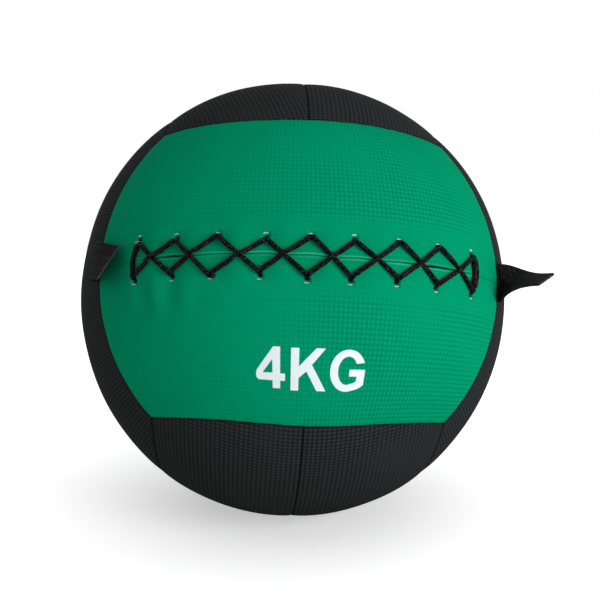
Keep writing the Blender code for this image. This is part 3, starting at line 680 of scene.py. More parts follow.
seam_stitches = add_piece("seam_stitches", seam_threads, black_thread)


# Hem stitches, a line of darker green thread along each side of the slit. It holds the facing strip behind
# the lips and draws the leather down a little.
HEM_STITCH_PITCH = 0.0034
HEM_STITCH_REACH = 0.0011
HEM_THREAD_RADIUS = 0.0003
HEM_THREAD_SINK = 0.00005

hem_threads = bmesh.new()
for panel in LACED:
    half = side_limit(HEM_RISE, 0.004)
    steps = np.arange(-half, half, HEM_STITCH_PITCH)
    hem = np.full(len(steps), HEM_RISE)
    drop = HEM_THREAD_SINK - cover_height(panel, steps, hem)
    add_stitches(hem_threads, panel, steps, hem, drop, HEM_STITCH_REACH, HEM_THREAD_RADIUS)
green_thread = speckled(
    "green_polyester_thread", 0.55, 0.3, THREAD_TWIST, 1, ("00402C", "005238"), THREAD_RADIUS / 5,
)
hem_stitches = add_piece("hem_stitches", hem_threads, green_thread)


# Facing strips, a band of the pale backing behind each lip. It is punched with the lip and a little wider, so
# that only the pale cut edge of the leather shows at the outer side of each hole.
FACING_DEPTH = 0.0014
FACING_THICK = 0.0006
FACING_INSET = 0.003
FACING_LOW = 0.0034
FACING_HOLE = 0.0026

for panel, row in LACED.items():
    facing_sheet = pattern_grid(132, 16, FACING_LOW, HEM_RISE, FACING_INSET, EDGE_PLACES[:2])
    for aside, rise in HOLES[row]:
        punch(facing_sheet, aside * row, rise, FACING_HOLE)
    along, rise, _ = places(facing_sheet).T
    depth = FACING_DEPTH - np.minimum(0, cover_height(panel, along, rise))
    move_to(facing_sheet, on_skin(pattern_direction(panel, along, rise), -depth))
    face_out(facing_sheet)
    half_name = panel.split("_")[1]
    facing = add_piece(
        "facing_strip_" + half_name, facing_sheet, pale_knit, "pale_backing", ["lip_facing_" + half_name],
    )
    give_wall(facing, FACING_THICK)


# Tongue, a strip of the green leatherette loose behind the slit. The filling presses it out against the
# facings between the lace's inner bars, so green shows in the bottom of the holes.
TONGUE_HALF_WIDTH = 0.024
TONGUE_END_INSET = 0.020
TONGUE_THICK = 0.001
TONGUE_NEAR_DEPTH = 0.0023
TONGUE_BAR_DEPTH = 0.0095
BESIDE_BAR = (0.0028, 0.0095)
PAST_BAR = (-0.0007, 0.0004)


def bar_place(pair, rise):
    """Place along the slit of the lace's bar between a pair of holes, at a rise."""
    low, high = HOLES[-1][pair + 4], HOLES[1][pair + 4]
    return low[0] + (high[0] - low[0]) * (rise + low[1]) / (high[1] + low[1])


tongue_sheet = bmesh.new()
bmesh.ops.create_grid(tongue_sheet, x_segments=240, y_segments=96, size=1)
along, rise, _ = places(tongue_sheet).T
along = along * side_limit(0, TONGUE_END_INSET)
rise = rise * TONGUE_HALF_WIDTH
from_bar = np.array([np.abs(along - bar_place(pair, rise)) for pair in range(-4, 5)])
bar_ends = np.where(rise > 0, HOLES[1][from_bar.argmin(axis=0), 1], HOLES[-1][from_bar.argmin(axis=0), 1])
past_end = np.abs(rise) - bar_ends
under_bar = (1 - eased(from_bar.min(axis=0), *BESIDE_BAR)) * (1 - eased(past_end, *PAST_BAR))
depth = TONGUE_NEAR_DEPTH + (TONGUE_BAR_DEPTH - TONGUE_NEAR_DEPTH) * under_bar
directions = pattern_direction("front_upper", along, rise)
give_pattern(tongue_sheet, np.column_stack([along, rise]))
move_to(tongue_sheet, on_skin(directions, -depth))
face_out(tongue_sheet)
tongue = add_piece("dust_tongue", tongue_sheet, green_leatherette, "green_leatherette", ["slit_tongue"])
give_wall(tongue, TONGUE_THICK, pale_knit)
give_values(tongue, {"from_seam": along * 0 + TONGUE_HALF_WIDTH, "crispness": along * 0 + 1})


# Lace, a round braided polyester cord of 3.3 mm. It runs straight behind each pair of holes and crosses
# itself outside between the pairs, the rising stretches over the falling ones, and bows outwards at both
# ends. In a few holes it is drawn out and fills them.
LACE_RADIUS = 0.00165
FACING_BACK = 0.0035
UPPER_BAR = 0.005
LOWER_BAR = 0.0079
LACE_STATION = 0.0005
LACE_SIDES = 32
BRAID_STRANDS = 16
BRAID_LAY = 0.0095
BRAID_RELIEF = 0.0001
FILAMENT_SCALE = 1800
END_BAR_RISES = np.array([-0.0088, -0.0045, 0, 0.0045, 0.0088])
END_INSET = {-1: 0.0027, 1: 0.0031}
END_BOW = {-1: 0.0032, 1: 0.0052}
END_REACH = (-0.0005, 0.0004)
JOIN_PLACE = (-0.1195, 0.0122)
JOIN_HEIGHT = 0.0017
JOIN_GAP = 0.0002
FULL_HOLES = {(-2, 1), (0, 1), (2, 1), (3, 1), (-2, -1)}


def hole_passage(pair, row, half, bar_depth):
    """The cord's points from outside a hole to its bar inside; half is the side of the hole that it uses."""
    out = 0.0022 if (pair, row) in FULL_HOLES else 0
    stops = (
        (0.0026, 0.0049 - out, 0.0018, LACE_RADIUS),
        (0.0013, 0.0034 - out, 0.0012, 0.0014),
        (0.00095, 0.0021 - out, -0.0004, 0.0009 + out / 10),
        (0.00095, 0.0019 - out / 2, -FACING_BACK, 0.0009),
        (0.0013, 0.0026, -bar_depth, 0.0012),
    )
    along, rise = HOLES[row][pair + 4]
    asides = [stop[0] for stop in stops]
    if half * pair == 4:
        asides[:2] = END_REACH
    return [
        (along + half * aside, row * (rise - toward_slit), height, radius)
        for aside, (_, toward_slit, height, radius) in zip(asides, stops)
    ]


def diagonal(start, end, over):
    """The cord's points across the slit between two hole approaches."""
    heights = (0.0023, 0.0046, 0.0023) if over else (0.0019, 0.0018, 0.0019)
    return [
        (start[0] + (end[0] - start[0]) * share, start[1] + (end[1] - start[1]) * share, height, radius)
        for share, height, radius in zip((0.3, 0.5, 0.7), heights, (LACE_RADIUS, 0.0014, LACE_RADIUS))
    ]


def zigzag(first_pair, step, bar_depth, over):
    """Zigzag of the cord from one end pair to the other."""
    route = []
    for pair in range(first_pair, first_pair + step * 9, step):
        entry = hole_passage(pair, -1, -step, bar_depth)
        leave = hole_passage(pair, 1, step, bar_depth)
        if route:
            route += diagonal(route[-1], entry[0], over)
        route += entry + leave[::-1]
    return route


def end_bar(pair, side):
    """The bowed bar outside an end pair."""
    stops = []
    for rise in side * END_BAR_RISES:
        bow = END_BOW[side] * (1 - (rise / 0.0145) ** 2) - END_INSET[side]
        stops.append((bar_place(pair, rise) + side * bow, rise, 0.002, LACE_RADIUS))
    return stops


def travelled_along(line):
    """Length travelled at each point of a line."""
    return np.concatenate([[0], np.cumsum(np.linalg.norm(np.diff(line, axis=0), axis=1))])


def points_at(stations, travelled, line):
    """Points of a line at lengths along it."""
    return np.stack([np.interp(stations, travelled, values) for values in line.T], axis=1)


def smooth_route(points, radii, spacing):
    """Points at an even spacing on a smooth curve through a route's points, with the radius at each."""
    ends = np.vstack([2 * points[0] - points[1], points, 2 * points[-1] - points[-2]])
    share = np.linspace(0, 1, 24, endpoint=False)[:, None]
    eased_share = eased(share, 0, 1)
    dense, dense_radii = [], []
    for place in range(len(points) - 1):
        before, start, end, after = ends[place:place + 4]
        limit = np.linalg.norm(end - start)
        turns = ((end - before) / 2, (after - start) / 2)
        turn_in, turn_out = (turn * min(1, limit / (np.linalg.norm(turn) + 1e-9)) for turn in turns)
        dense.append(
            start + (end - start) * eased_share
            + (share ** 3 - 2 * share ** 2 + share) * turn_in + (share ** 3 - share ** 2) * turn_out
        )
        dense_radii.append(radii[place] + (radii[place + 1] - radii[place]) * eased_share[:, 0])
    dense = np.vstack(dense + [points[-1:]])
    dense_radii = np.concatenate(dense_radii + [radii[-1:]])
    travelled = travelled_along(dense)
    stations = np.linspace(0, travelled[-1], round(travelled[-1] / spacing) + 1)
    return points_at(stations, travelled, dense), np.interp(stations, travelled, dense_radii), stations


def normals_out(closed):
    """Turn the faces of a closed bmesh outwards."""
    closed.normal_update()
    bmesh.ops.recalc_face_normals(closed, faces=closed.faces)


def sweep(points, radii, stations, sides, relief):
    """Closed tube along a route: a rolled grid, with a relief by length and turn, and its UV."""
    tangents = unit(np.gradient(points, axis=0))
    side = np.cross(tangents[0], [0, 0, 1])
    asides = []
    for tangent in tangents:
        side = side - tangent * (side @ tangent)
        side /= np.linalg.norm(side)
        asides.append(side)
    asides = np.array(asides)
    ups = np.cross(tangents, asides)
    tube = bmesh.new()
    bmesh.ops.create_grid(tube, x_segments=len(points) - 1, y_segments=sides, size=1)
    flat = (places(tube) + 1) / 2
    place = np.round(flat[:, 0] * (len(points) - 1)).astype(int)
    turn = flat[:, 1] * math.tau
    radius = radii[place] + relief(stations[place], turn)
    round_it = np.cos(turn)[:, None] * asides[place] + np.sin(turn)[:, None] * ups[place]
    give_pattern(tube, np.column_stack([stations[place], flat[:, 1]]))
    move_to(tube, points[place] + radius[:, None] * round_it)
    bmesh.ops.remove_doubles(tube, verts=tube.verts, dist=1e-6)
    bmesh.ops.holes_fill(tube, edges=[edge for edge in tube.edges if edge.is_boundary])
    normals_out(tube)
    return tube


def braid_relief(length, turn):
    """Height of the braid's crossing strands, which climb round the cord both ways."""
    rising = BRAID_STRANDS / 2 * (turn / math.tau + length / BRAID_LAY)
    falling = BRAID_STRANDS / 2 * (turn / math.tau - length / BRAID_LAY)
    return BRAID_RELIEF * (np.abs(np.sin(rising * math.pi) * np.sin(falling * math.pi)) - 0.6)


def braided_cord(name, code, highlight_code):
    """Braided filament cord: strands climbing both ways and crossing, fine filaments, painted highlights on
    crests.
    """
    material, tree, shader, place = new_finish(name, 0.7, 0.06)
    length, turn = pattern_axes(tree)
    climb = add_node(tree, "Math", (length, BRAID_STRANDS / 2 * math.pi / BRAID_LAY), operation="MULTIPLY")
    round_it = add_node(tree, "Math", (turn, BRAID_STRANDS / 2 * math.pi), operation="MULTIPLY")
    rising, falling = (
        ridges(tree, add_node(tree, "Math", (round_it, climb), operation=way)) for way in ("ADD", "SUBTRACT")
    )
    crossing = add_node(tree, "Math", (rising, falling), operation="MULTIPLY")
    filaments = add_node(tree, "TexNoise", {"Vector": place, "Scale": FILAMENT_SCALE, "Detail": 2})
    light = add_node(tree, "Math", (crossing, filaments), operation="MULTIPLY")
    # Painted highlights on the crests where the strands cross.
    shades = [(add_node(tree, "MapRange", (light, 0.47, 0.57)), highlight_code)]
    give_finish(tree, shader, code, shades, (filaments, LACE_RADIUS / 30), (crossing, LACE_RADIUS / 8))
    return material


black_braid = braided_cord("black_braided_polyester_cord", "000001", "8A8084")
first_end, last_end = (
    (JOIN_PLACE[0], JOIN_PLACE[1] + gap, JOIN_HEIGHT, LACE_RADIUS) for gap in (-JOIN_GAP, JOIN_GAP)
)
lace_stops = [first_end] + end_bar(-4, -1) + zigzag(-4, 1, LOWER_BAR, False)
lace_stops += end_bar(4, 1) + zigzag(4, -1, UPPER_BAR, True)
lace_stops = np.array(lace_stops[:-1] + [last_end])
directions = pattern_direction("front_upper", lace_stops[:, 0], lace_stops[:, 1])
lace_points = directions * (skin_radius(directions) + lace_stops[:, 2])[:, None]
route, route_radii, route_stations = smooth_route(lace_points, lace_stops[:, 3], LACE_STATION)
lace_sheet = sweep(stand(route), route_radii, route_stations, LACE_SIDES, braid_relief)
lace = add_piece("laced_cord", lace_sheet, black_braid, "black_braid", ["lace"])


# Sleeve of heat-shrink tube over the butt join of the lace's two ends, under the upper left hole. It grips
# the cord with a soft waist and shows greyer than the lace.
SLEEVE_WALL = 0.00035
SLEEVE_LENGTH = 0.002
SLEEVE_CLEARANCE = 0.00015
SLEEVE_WAIST = 0.0001

join_low, join_high = stand(lace_points[[0, -1]])
join_axis = Vector(join_high - join_low).normalized()
join_middle = Vector(join_high + join_low) / 2
sleeve_sheet = bmesh.new()
bmesh.ops.create_cone(sleeve_sheet, cap_ends=False, segments=32, radius1=1, radius2=1, depth=SLEEVE_LENGTH)
upright = [edge for edge in sleeve_sheet.edges if edge.verts[0].co.z * edge.verts[1].co.z < 0]
bmesh.ops.subdivide_edges(sleeve_sheet, cuts=9, edges=upright)
sleeve_turn = Vector((0, 0, 1)).rotation_difference(join_axis).to_matrix()
for vert in sleeve_sheet.verts:
    waist = LACE_RADIUS + SLEEVE_CLEARANCE - SLEEVE_WAIST * math.cos(vert.co.z / SLEEVE_LENGTH * math.pi)
    vert.co = join_middle + sleeve_turn @ Vector((vert.co.x * waist, vert.co.y * waist, vert.co.z))
normals_out(sleeve_sheet)
shrink_tube = speckled("grey_shrink_tube", 0.38, 0.5, 900, 3, ("3A3739", "7B7778"), 0.0001)
sleeve = add_piece("lace_join_sleeve", sleeve_sheet, shrink_tube, "shrink_sleeve", ["lace_splice"])
sleeve_wall = sleeve.modifiers.new("wall", "SOLIDIFY")
sleeve_wall.thickness = SLEEVE_WALL
sleeve_wall.offset = 1


# Pull tabs, 28 mm ribbed polyester webbing folded double and sewn into the side seams at the ends of the
# slit. The left one lies over toward the front and the right one stands out and twists flat at its fold.
WEBBING_THICK = 0.0009
WEBBING_HALF_SPACING = 0.00055
FOLD_RADIUS = 0.0006
TAB_LENGTH = 0.036
TAB_ROOT = 0.0086
HINGE_OUT = 0.00205
RIB_PITCH = 0.0013
WARP_PITCH = 0.0011
RIB_HEIGHT = 0.00013
WEB_ROWS = 44
TABS = {"left": (-1, (51, 40, 30, 11), 1.5), "right": (1, (23, -14, 66, 2.6), 2.8)}


def folded_line(spacing):
    """Middle line of webbing folded double, from one buried end over the fold to the other, by its length."""
    straight = np.arange(-TAB_ROOT, TAB_LENGTH - FOLD_RADIUS, spacing)
    swell = np.clip((straight - TAB_LENGTH + 0.011) / (0.011 - FOLD_RADIUS), 0, 1) ** 2
    upper = np.stack([straight, WEBBING_HALF_SPACING + (FOLD_RADIUS - WEBBING_HALF_SPACING) * swell], axis=1)
    turns = np.linspace(math.pi / 2, -math.pi / 2, 17)[1:-1]
    fold = FOLD_RADIUS * np.stack([np.cos(turns), np.sin(turns)], axis=1) + [TAB_LENGTH - FOLD_RADIUS, 0]
    line = np.vstack([upper, fold, (upper * [1, -1])[::-1]])
    travelled = travelled_along(line)
    stations = np.arange(0, travelled[-1], spacing)
    return points_at(stations, travelled, line), stations


def hang_tab(points, side, bend, quickness):
    """Bend straight tab points, whose X runs out from the seam, into the way the tab hangs."""
    start_angle, curl, twist, droop = (math.radians(angle) for angle in bend)
    distance, offset, width = points.T
    out = np.maximum(distance, 0)
    centre = np.zeros((len(points), 3))
    steps = 24
    for step in range(steps):
        heading = start_angle + curl * (1 - (1 - (step + 0.5) / steps * out / TAB_LENGTH) ** 2)
        ahead = np.stack([np.cos(heading), -side * np.sin(heading), heading * 0], axis=1)
        centre += ahead * (out / steps)[:, None]
    left_over = 1 - np.minimum(out / TAB_LENGTH, 1)
    heading = (start_angle + curl * (1 - left_over ** 2)) * np.clip(out / 0.002, 0, 1)
    facing = np.stack([side * np.sin(heading), np.cos(heading), heading * 0], axis=1)
    turned = (twist * (1 - left_over ** quickness))[:, None]
    placed = centre + (Z_AXIS * np.cos(turned) + facing * np.sin(turned)) * width[:, None]
    placed += (facing * np.cos(turned) - Z_AXIS * np.sin(turned)) * offset[:, None]
    placed[:, 2] -= math.tan(droop) * out
    placed[:, 0] += np.minimum(distance, 0)
    return placed


def webbing(name, code, highlight_code):
    """Ribbed webbing: ribs in the mesh, warp ends over and under them, painted highlights on rib crests and
    edges.
    """
    material, tree, shader, place = new_finish(name, 0.8, 0.05)
    length, width = pattern_axes(tree)
    warp = add_node(tree, "Math", (width, math.tau / WARP_PITCH), operation="MULTIPLY")
    weft = add_node(tree, "Math", (length, math.pi / RIB_PITCH), operation="MULTIPLY")
    swing = add_node(tree, "Math", [warp], operation="SINE")
    ribs = ridges(tree, add_node(tree, "Math", (swing, 0.9, weft), operation="MULTIPLY_ADD"))
    fuzz = add_node(tree, "TexNoise", {"Vector": place, "Scale": FILAMENT_SCALE, "Detail": 2})
    edge_highlight = add_node(tree, "Attribute", output="Fac", attribute_name="edge_highlight")
    light = add_node(tree, "Math", (ribs, fuzz, edge_highlight), operation="MULTIPLY_ADD")
    shades = [(add_node(tree, "MapRange", (light, 0.45, 0.6)), highlight_code)]
    give_finish(tree, shader, code, shades, (fuzz, 0.00006), (ribs, 0.0003))
    return material


black_webbing = webbing("black_ribbed_webbing", "000101", "524E50")
line, stations = folded_line(RIB_PITCH / 5)
for side_name, (side, bend, quickness) in TABS.items():
    middle = np.array([side * math.sin(FACE_ANGLE), -math.cos(FACE_ANGLE), 0])
    hinge = middle * (skin_radius(middle) + HINGE_OUT) + Z_AXIS * TAB_RISES[side]
    hinge_frame = np.stack([middle, np.cross(Z_AXIS, middle), Z_AXIS])
    web = bmesh.new()
    bmesh.ops.create_grid(web, x_segments=len(line) - 1, y_segments=WEB_ROWS, size=1)
    flat = (places(web) + 1) / 2
    place = np.round(flat[:, 0] * (len(line) - 1)).astype(int)
    web_row = np.round(flat[:, 1] * WEB_ROWS).astype(int)
    width = (flat[:, 1] * 2 - 1) * TAB_HALF_WIDTH
    selvedge = np.clip((TAB_HALF_WIDTH - np.abs(width)) / 0.0012, 0, 1)
    rib = RIB_HEIGHT * np.abs(np.sin((stations[place] / RIB_PITCH + web_row % 2 / 2) * math.pi)) * selvedge
    heading = unit(np.gradient(line, axis=0))
    outward = np.stack([-heading[:, 1], heading[:, 0]], axis=1)
    straight = line[place] + outward[place] * rib[:, None]
    points = hang_tab(np.column_stack([straight, width]), side, bend, quickness) @ hinge_frame + hinge
    give_pattern(web, np.column_stack([stations[place], width]))
    move_to(web, stand(points))
    web.normal_update()
    strap = add_piece(
        "pull_tab_" + side_name, web, black_webbing, "black_webbing",
        ["tab_" + side_name, "tab_" + side_name + "_root"], None,
    )
    # Painted highlight along the fold's edge, and fainter along the selvedges.
    near_fold = 0.12 * np.exp(-(TAB_LENGTH - line[place, 0]) / 0.0004)
    give_values(strap, {"edge_highlight": near_fold + 0.06 * (1 - selvedge)})
    give_wall(strap, WEBBING_THICK, offset=0)
    root_end, free_start = stand(np.array([hinge - middle * 0.0015, hinge + middle * 0.0025]))
    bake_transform(strap)


# Printed weight, the plain figure and unit in white screen ink on the lower front panel, a film that follows
# the leather.
INK_LIFT = 0.0001
INK_THICK = 0.00008
INK_SPACING = 0.003
INK_SPAN = (-0.09, 0.05)


def ellipse(width, height, start, end):
    """Points of an arc round the middle of a letter's box, between two angles in degrees."""
    turns = np.radians(np.linspace(start, end, 36))
    return [(0.5 + width / 2 * math.cos(turn), 0.5 + height / 2 * math.sin(turn)) for turn in turns]


FOUR = [
    (0.6, 1), (0.83, 1), (0.83, 0.36), (1, 0.36), (1, 0.19), (0.83, 0.19), (0.83, 0), (0.57, 0), (0.57, 0.19),
    (0.09, 0.2), (0.02, 0.25), (0, 0.35), (0.04, 0.44),
]
FOUR_COUNTER = [(0.57, 0.7), (0.57, 0.375), (0.23, 0.375)]
KILO = [
    (0, 0), (0, 1), (0.225, 1), (0.225, 0.565), (0.7, 1), (0.96, 1), (0.59, 0.61), (1.03, 0), (0.765, 0),
    (0.44, 0.455), (0.225, 0.3), (0.225, 0),
]
GRAM = ellipse(1, 1, 23, 285) + [
    (0.8, 0.055), (0.91, 0.1), (1, 0.16), (1, 0.53), (0.55, 0.53), (0.55, 0.365), (0.775, 0.365),
    (0.77, 0.25), (0.69, 0.205),
] + ellipse(0.55, 0.67, 290, 30)
LETTERS = (
    ((FOUR, FOUR_COUNTER), (-0.0350, -0.0148), (-0.0823, -0.0571)),
    ((KILO,), (-0.0109, 0.0134), (-0.0832, -0.0576)),
    ((GRAM,), (0.0163, 0.0412), (-0.0834, -0.0578)),
)


def cut_across(sheet, axis, place):
    """Cut a bmesh through where a plane crosses an axis, and keep both sides."""
    everything = sheet.verts[:] + sheet.edges[:] + sheet.faces[:]
    bmesh.ops.bisect_plane(sheet, geom=everything, dist=1e-6, plane_co=axis * place, plane_no=axis)


ink = bmesh.new()
for outlines, (left, right), (foot, head) in LETTERS:
    letter = bpy.data.curves.new("weight_letter", "CURVE")
    letter.dimensions = "2D"
    letter.fill_mode = "BOTH"
    for outline in outlines:
        line = letter.splines.new("POLY")
        line.points.add(len(outline) - 1)
        line.use_cyclic_u = True
        for point, (across, up) in zip(line.points, outline):
            point.co = (left + (right - left) * across, foot + (head - foot) * up, 0, 1)
    lettering = bpy.data.objects.new("weight_letter", letter)
    scene.collection.objects.link(lettering)
    bpy.context.view_layer.update()
    drawn = lettering.evaluated_get(bpy.context.evaluated_depsgraph_get())
    ink.from_mesh(bpy.data.meshes.new_from_object(drawn))
    bpy.data.objects.remove(lettering)
for axis in (X_AXIS, Y_AXIS):
    for place in np.arange(*INK_SPAN, INK_SPACING):
        cut_across(ink, axis, place)
along, rise, _ = places(ink).T
directions = bow_seams(pattern_direction("front_upper", along, rise))
lift = cover_height("front_lower", -along, -rise) + INK_LIFT
move_to(ink, on_skin(directions, lift))
face_out(ink)
white_ink = speckled("white_screen_ink", 0.5, 0.3, 700, 3, ("D6E3E7", "E2EFF3"), 0.00004)
print_film = add_piece("printed_weight", ink, white_ink)
print_film.data.shade_flat()
give_wall(print_film, INK_THICK)


# Foam pads, sheets of grey closed-cell foam with soft edges, one behind each cover panel. The two at the
# front start beyond the hem and leave the lacing free.
PAD_UNDER_SKIN = 0.0015
PAD_THICK = 0.0074
PAD_INSET = 0.0032
PAD_PAST_HEM = 0.0012
PAD_ROUND = 0.0022
FOAM_CELL = 0.0009

grey_foam, tree, shader, place = new_finish("grey_closed_cell_foam", 0.9, 0.2)
cells = add_node(tree, "TexVoronoi", {"Vector": place, "Scale": 1 / FOAM_CELL})
patches = add_node(tree, "TexNoise", {"Vector": place, "Scale": 40, "Detail": 3})
# The pits of the cells are painted darker, as shade, varied in patches.
shade = add_node(tree, "Math", (cells, patches), operation="MULTIPLY")
give_finish(tree, shader, "62666A", [(shade, "8A8F93")], (cells, FOAM_CELL / 5))

for panel in PANELS:
    low = HEM_RISE + PAD_PAST_HEM if panel in LACED else PAD_INSET
    pad_sheet = pattern_grid(60, 24, low, STRIP_RISE - PAD_INSET, PAD_INSET, EDGE_PLACES[:1])
    grown = bmesh.ops.extrude_face_region(pad_sheet, geom=pad_sheet.faces[:])
    bmesh.ops.translate(pad_sheet, verts=made_of(grown, bmesh.types.BMVert), vec=(0, 0, -PAD_THICK))
    normals_out(pad_sheet)
    corners = [edge for edge in pad_sheet.edges if edge.calc_face_angle(0) > 1]
    bmesh.ops.bevel(
        pad_sheet, geom=corners, offset=PAD_ROUND, offset_type="OFFSET", segments=3, profile=0.5,
        affect="EDGES", material=-1,
    )
    along, rise, depth = places(pad_sheet).T
    directions = bow_seams(pattern_direction(panel, along, rise))
    height = cover_height(panel, along, rise) - PAD_UNDER_SKIN + depth
    move_to(pad_sheet, on_skin(directions, height, COVER_THICK))
    face_out(pad_sheet)
    pad = add_piece("foam_pad_" + panel, pad_sheet, grey_foam, "grey_foam", ["pad_" + panel])


# Lining bag, plain woven polyester sewn like the cover and a little too large, so it lies in faint
# wrinkles. Its mouth is behind the slit.
LINING_DEPTH = 0.0112
LINING_THICK = 0.0008
LINING_WRINKLE = 0.0007
LINING_WRINKLE_SIZE = 0.03
LINING_WEAVE = 0.0011
MOUTH_HALF = (0.103, 0.012)

lining_sheet = bmesh.new()
bmesh.ops.create_icosphere(lining_sheet, subdivisions=6, radius=1)
for axis, half in ((X_AXIS, MOUTH_HALF[0]), (Z_AXIS, MOUTH_HALF[1])):
    for side in (-1, 1):
        cut_across(lining_sheet, axis, side * half / BALL_RADIUS)
mouth = [
    face for face in lining_sheet.faces
    if face.calc_center_median().y < 0
    and abs(face.calc_center_median().x) * BALL_RADIUS < MOUTH_HALF[0]
    and abs(face.calc_center_median().z) * BALL_RADIUS < MOUTH_HALF[1]
]
bmesh.ops.delete(lining_sheet, geom=mouth, context="FACES")
directions = unit(places(lining_sheet))
wrinkles = LINING_WRINKLE * uneven(directions * BALL_RADIUS * [1, 1, 3], LINING_WRINKLE_SIZE)
move_to(lining_sheet, on_skin(directions, wrinkles - LINING_DEPTH, LINING_DEPTH))
face_out(lining_sheet)
grey_weave = knit("grey_woven_polyester_lining", "3C4148", "22252A", LINING_WEAVE)
lining = add_piece("inner_lining", lining_sheet, grey_weave, "lining_cloth", ["lining"])
give_wall(lining, LINING_THICK)


# Textile filling, offcuts of cloth shredded to scraps and stuffed in through the mouth of the lining. It is
# packed hard, in two lumpy halves round the hollow that the core bag fills.
FILLING_DEPTH = 0.0138
FILLING_LUMP = 0.0013
FILLING_LUMP_SIZE = 0.016
FILLING_SPLIT = 0.0006
HOLLOW_RADIUS = 0.0556
NECK_HOLLOW = (0.0156, 0.0726)

shredded_cloth, tree, shader, place = new_finish("shredded_textile", 0.95, 0.1)
scraps = add_node(tree, "TexVoronoi", {"Vector": place, "Scale": 120})
threads = add_node(tree, "TexNoise", {"Vector": place, "Scale": 900, "Detail": 4})
scrap_shade = add_node(tree, "SeparateXYZ", [scraps.node.outputs["Color"]])
shade = add_node(tree, "Math", (scrap_shade, threads), operation="MULTIPLY")
give_finish(tree, shader, "6F6A62", [(shade, "D2CCC2")], (threads, 0.0004), (scraps, 0.0015))


def turned_form(profile, steps):
    """Form of a profile of radius and height, spun round the ball's upright."""
    turned = bmesh.new()
    outline = [turned.verts.new((radius, 0, height)) for radius, height in profile]
    edges = [turned.edges.new(pair) for pair in zip(outline, outline[1:])]
    bmesh.ops.spin(
        turned, geom=outline + edges, axis=(0, 0, 1), cent=(0, 0, 0), steps=steps, angle=math.tau,
        use_merge=True,
    )
    bmesh.ops.remove_doubles(turned, verts=turned.verts, dist=1e-6)
    normals_out(turned)
    return turned


for half_name, half_side in (("upper", 1), ("lower", -1)):
    low = FILLING_SPLIT / 2
    quarter = np.linspace(math.pi / 2, 0, 48)
    profile = [(math.cos(turn) * BALL_RADIUS, math.sin(turn) * BALL_RADIUS) for turn in quarter]
    profile[0] = (0, BALL_RADIUS)
    profile += [(radius, low) for radius in np.linspace(0.15, 0.06, 10)]
    hollow_end = math.acos(NECK_HOLLOW[0] / HOLLOW_RADIUS) if half_side > 0 else math.pi / 2
    hollow_turns = np.linspace(0, hollow_end, 20)
    profile += [
        (HOLLOW_RADIUS * math.cos(turn), low + HOLLOW_RADIUS * math.sin(turn)) for turn in hollow_turns
    ]
    if half_side > 0:
        profile += [(NECK_HOLLOW[0], NECK_HOLLOW[1]), (0, NECK_HOLLOW[1])]
    else:
        profile[-1] = (0, low + HOLLOW_RADIUS)
    filling_sheet = turned_form(profile, 120)
    points = places(filling_sheet)
    reach = np.linalg.norm(points, axis=1)
    directions = unit(points) * [1, 1, half_side]
    lumps = FILLING_LUMP * uneven(directions * BALL_RADIUS, FILLING_LUMP_SIZE)
    radius = skin_radius(directions) - FILLING_DEPTH + lumps
    outer = reach > BALL_RADIUS * 0.999
    points = np.where(outer[:, None], directions * radius[:, None], points * [1, 1, half_side])
    points[outer, 2] = half_side * np.maximum(low, points[outer, 2] * half_side)
    move_to(filling_sheet, stand(points, FILLING_DEPTH))
    normals_out(filling_sheet)
    filling = add_piece(
        "textile_filling_" + half_name, filling_sheet, shredded_cloth, "textile_fill",
        ["stuffing_" + half_name],
    )


# Core bag, plain cotton canvas sewn to a round bag whose four seams lie in shallow grooves. Its neck is
# gathered in pleats and bound above the iron grit.
BAG_RADIUS = 0.0548
BAG_THICK = 0.001
BAG_NECK = (0.009, 0.058)
BAG_MOUTH = (0.0145, 0.0715)
BAG_PLEATS = 13
BAG_SHOULDER = 0.016
GORE_GROOVE = 0.006
CANVAS_WEAVE = 0.0013
GRIT_GAP = 0.0015

shoulder = math.asin(BAG_SHOULDER / BAG_RADIUS)
bag_line = [BAG_MOUTH, (0.0118, 0.0665), (0.0098, 0.0612), BAG_NECK, (0.0105, 0.0552)]
bag_line += [
    (BAG_RADIUS * math.sin(turn), BAG_RADIUS * math.cos(turn)) for turn in np.linspace(shoulder, math.pi, 44)
]
bag_line[-1] = (0, -BAG_RADIUS)
bag_sheet = turned_form(bag_line, 156)
points = places(bag_sheet)
lon = np.arctan2(points[:, 1], points[:, 0])
pleats = eased(points[:, 2], 0.044, 0.056) * (0.09 + 0.12 * eased(points[:, 2], 0.06, 0.07))
gores = near(np.sin(lon * 2), 0, 0.08, GORE_GROOVE)
points[:, :2] *= (1 + pleats * np.cos(lon * BAG_PLEATS) * 0.9 - gores)[:, None]
move_to(bag_sheet, stand(points))
face_out(bag_sheet)
natural_canvas = knit("natural_cotton_canvas", "C9BB9B", "8F8266", CANVAS_WEAVE)
core_bag = add_piece("core_canvas_bag", bag_sheet, natural_canvas, "canvas", ["core_bag"])
give_wall(core_bag, BAG_THICK)


# Iron grit in the core bag, loose dark grains that give the ball its weight. They are poured in through the
# neck and end flat below it.
GRAIN_PITCH = 0.0014
GRIT_TOP = 0.0505
GRIT_LUMP = 0.006
GRIT_LUMP_SIZE = 0.009

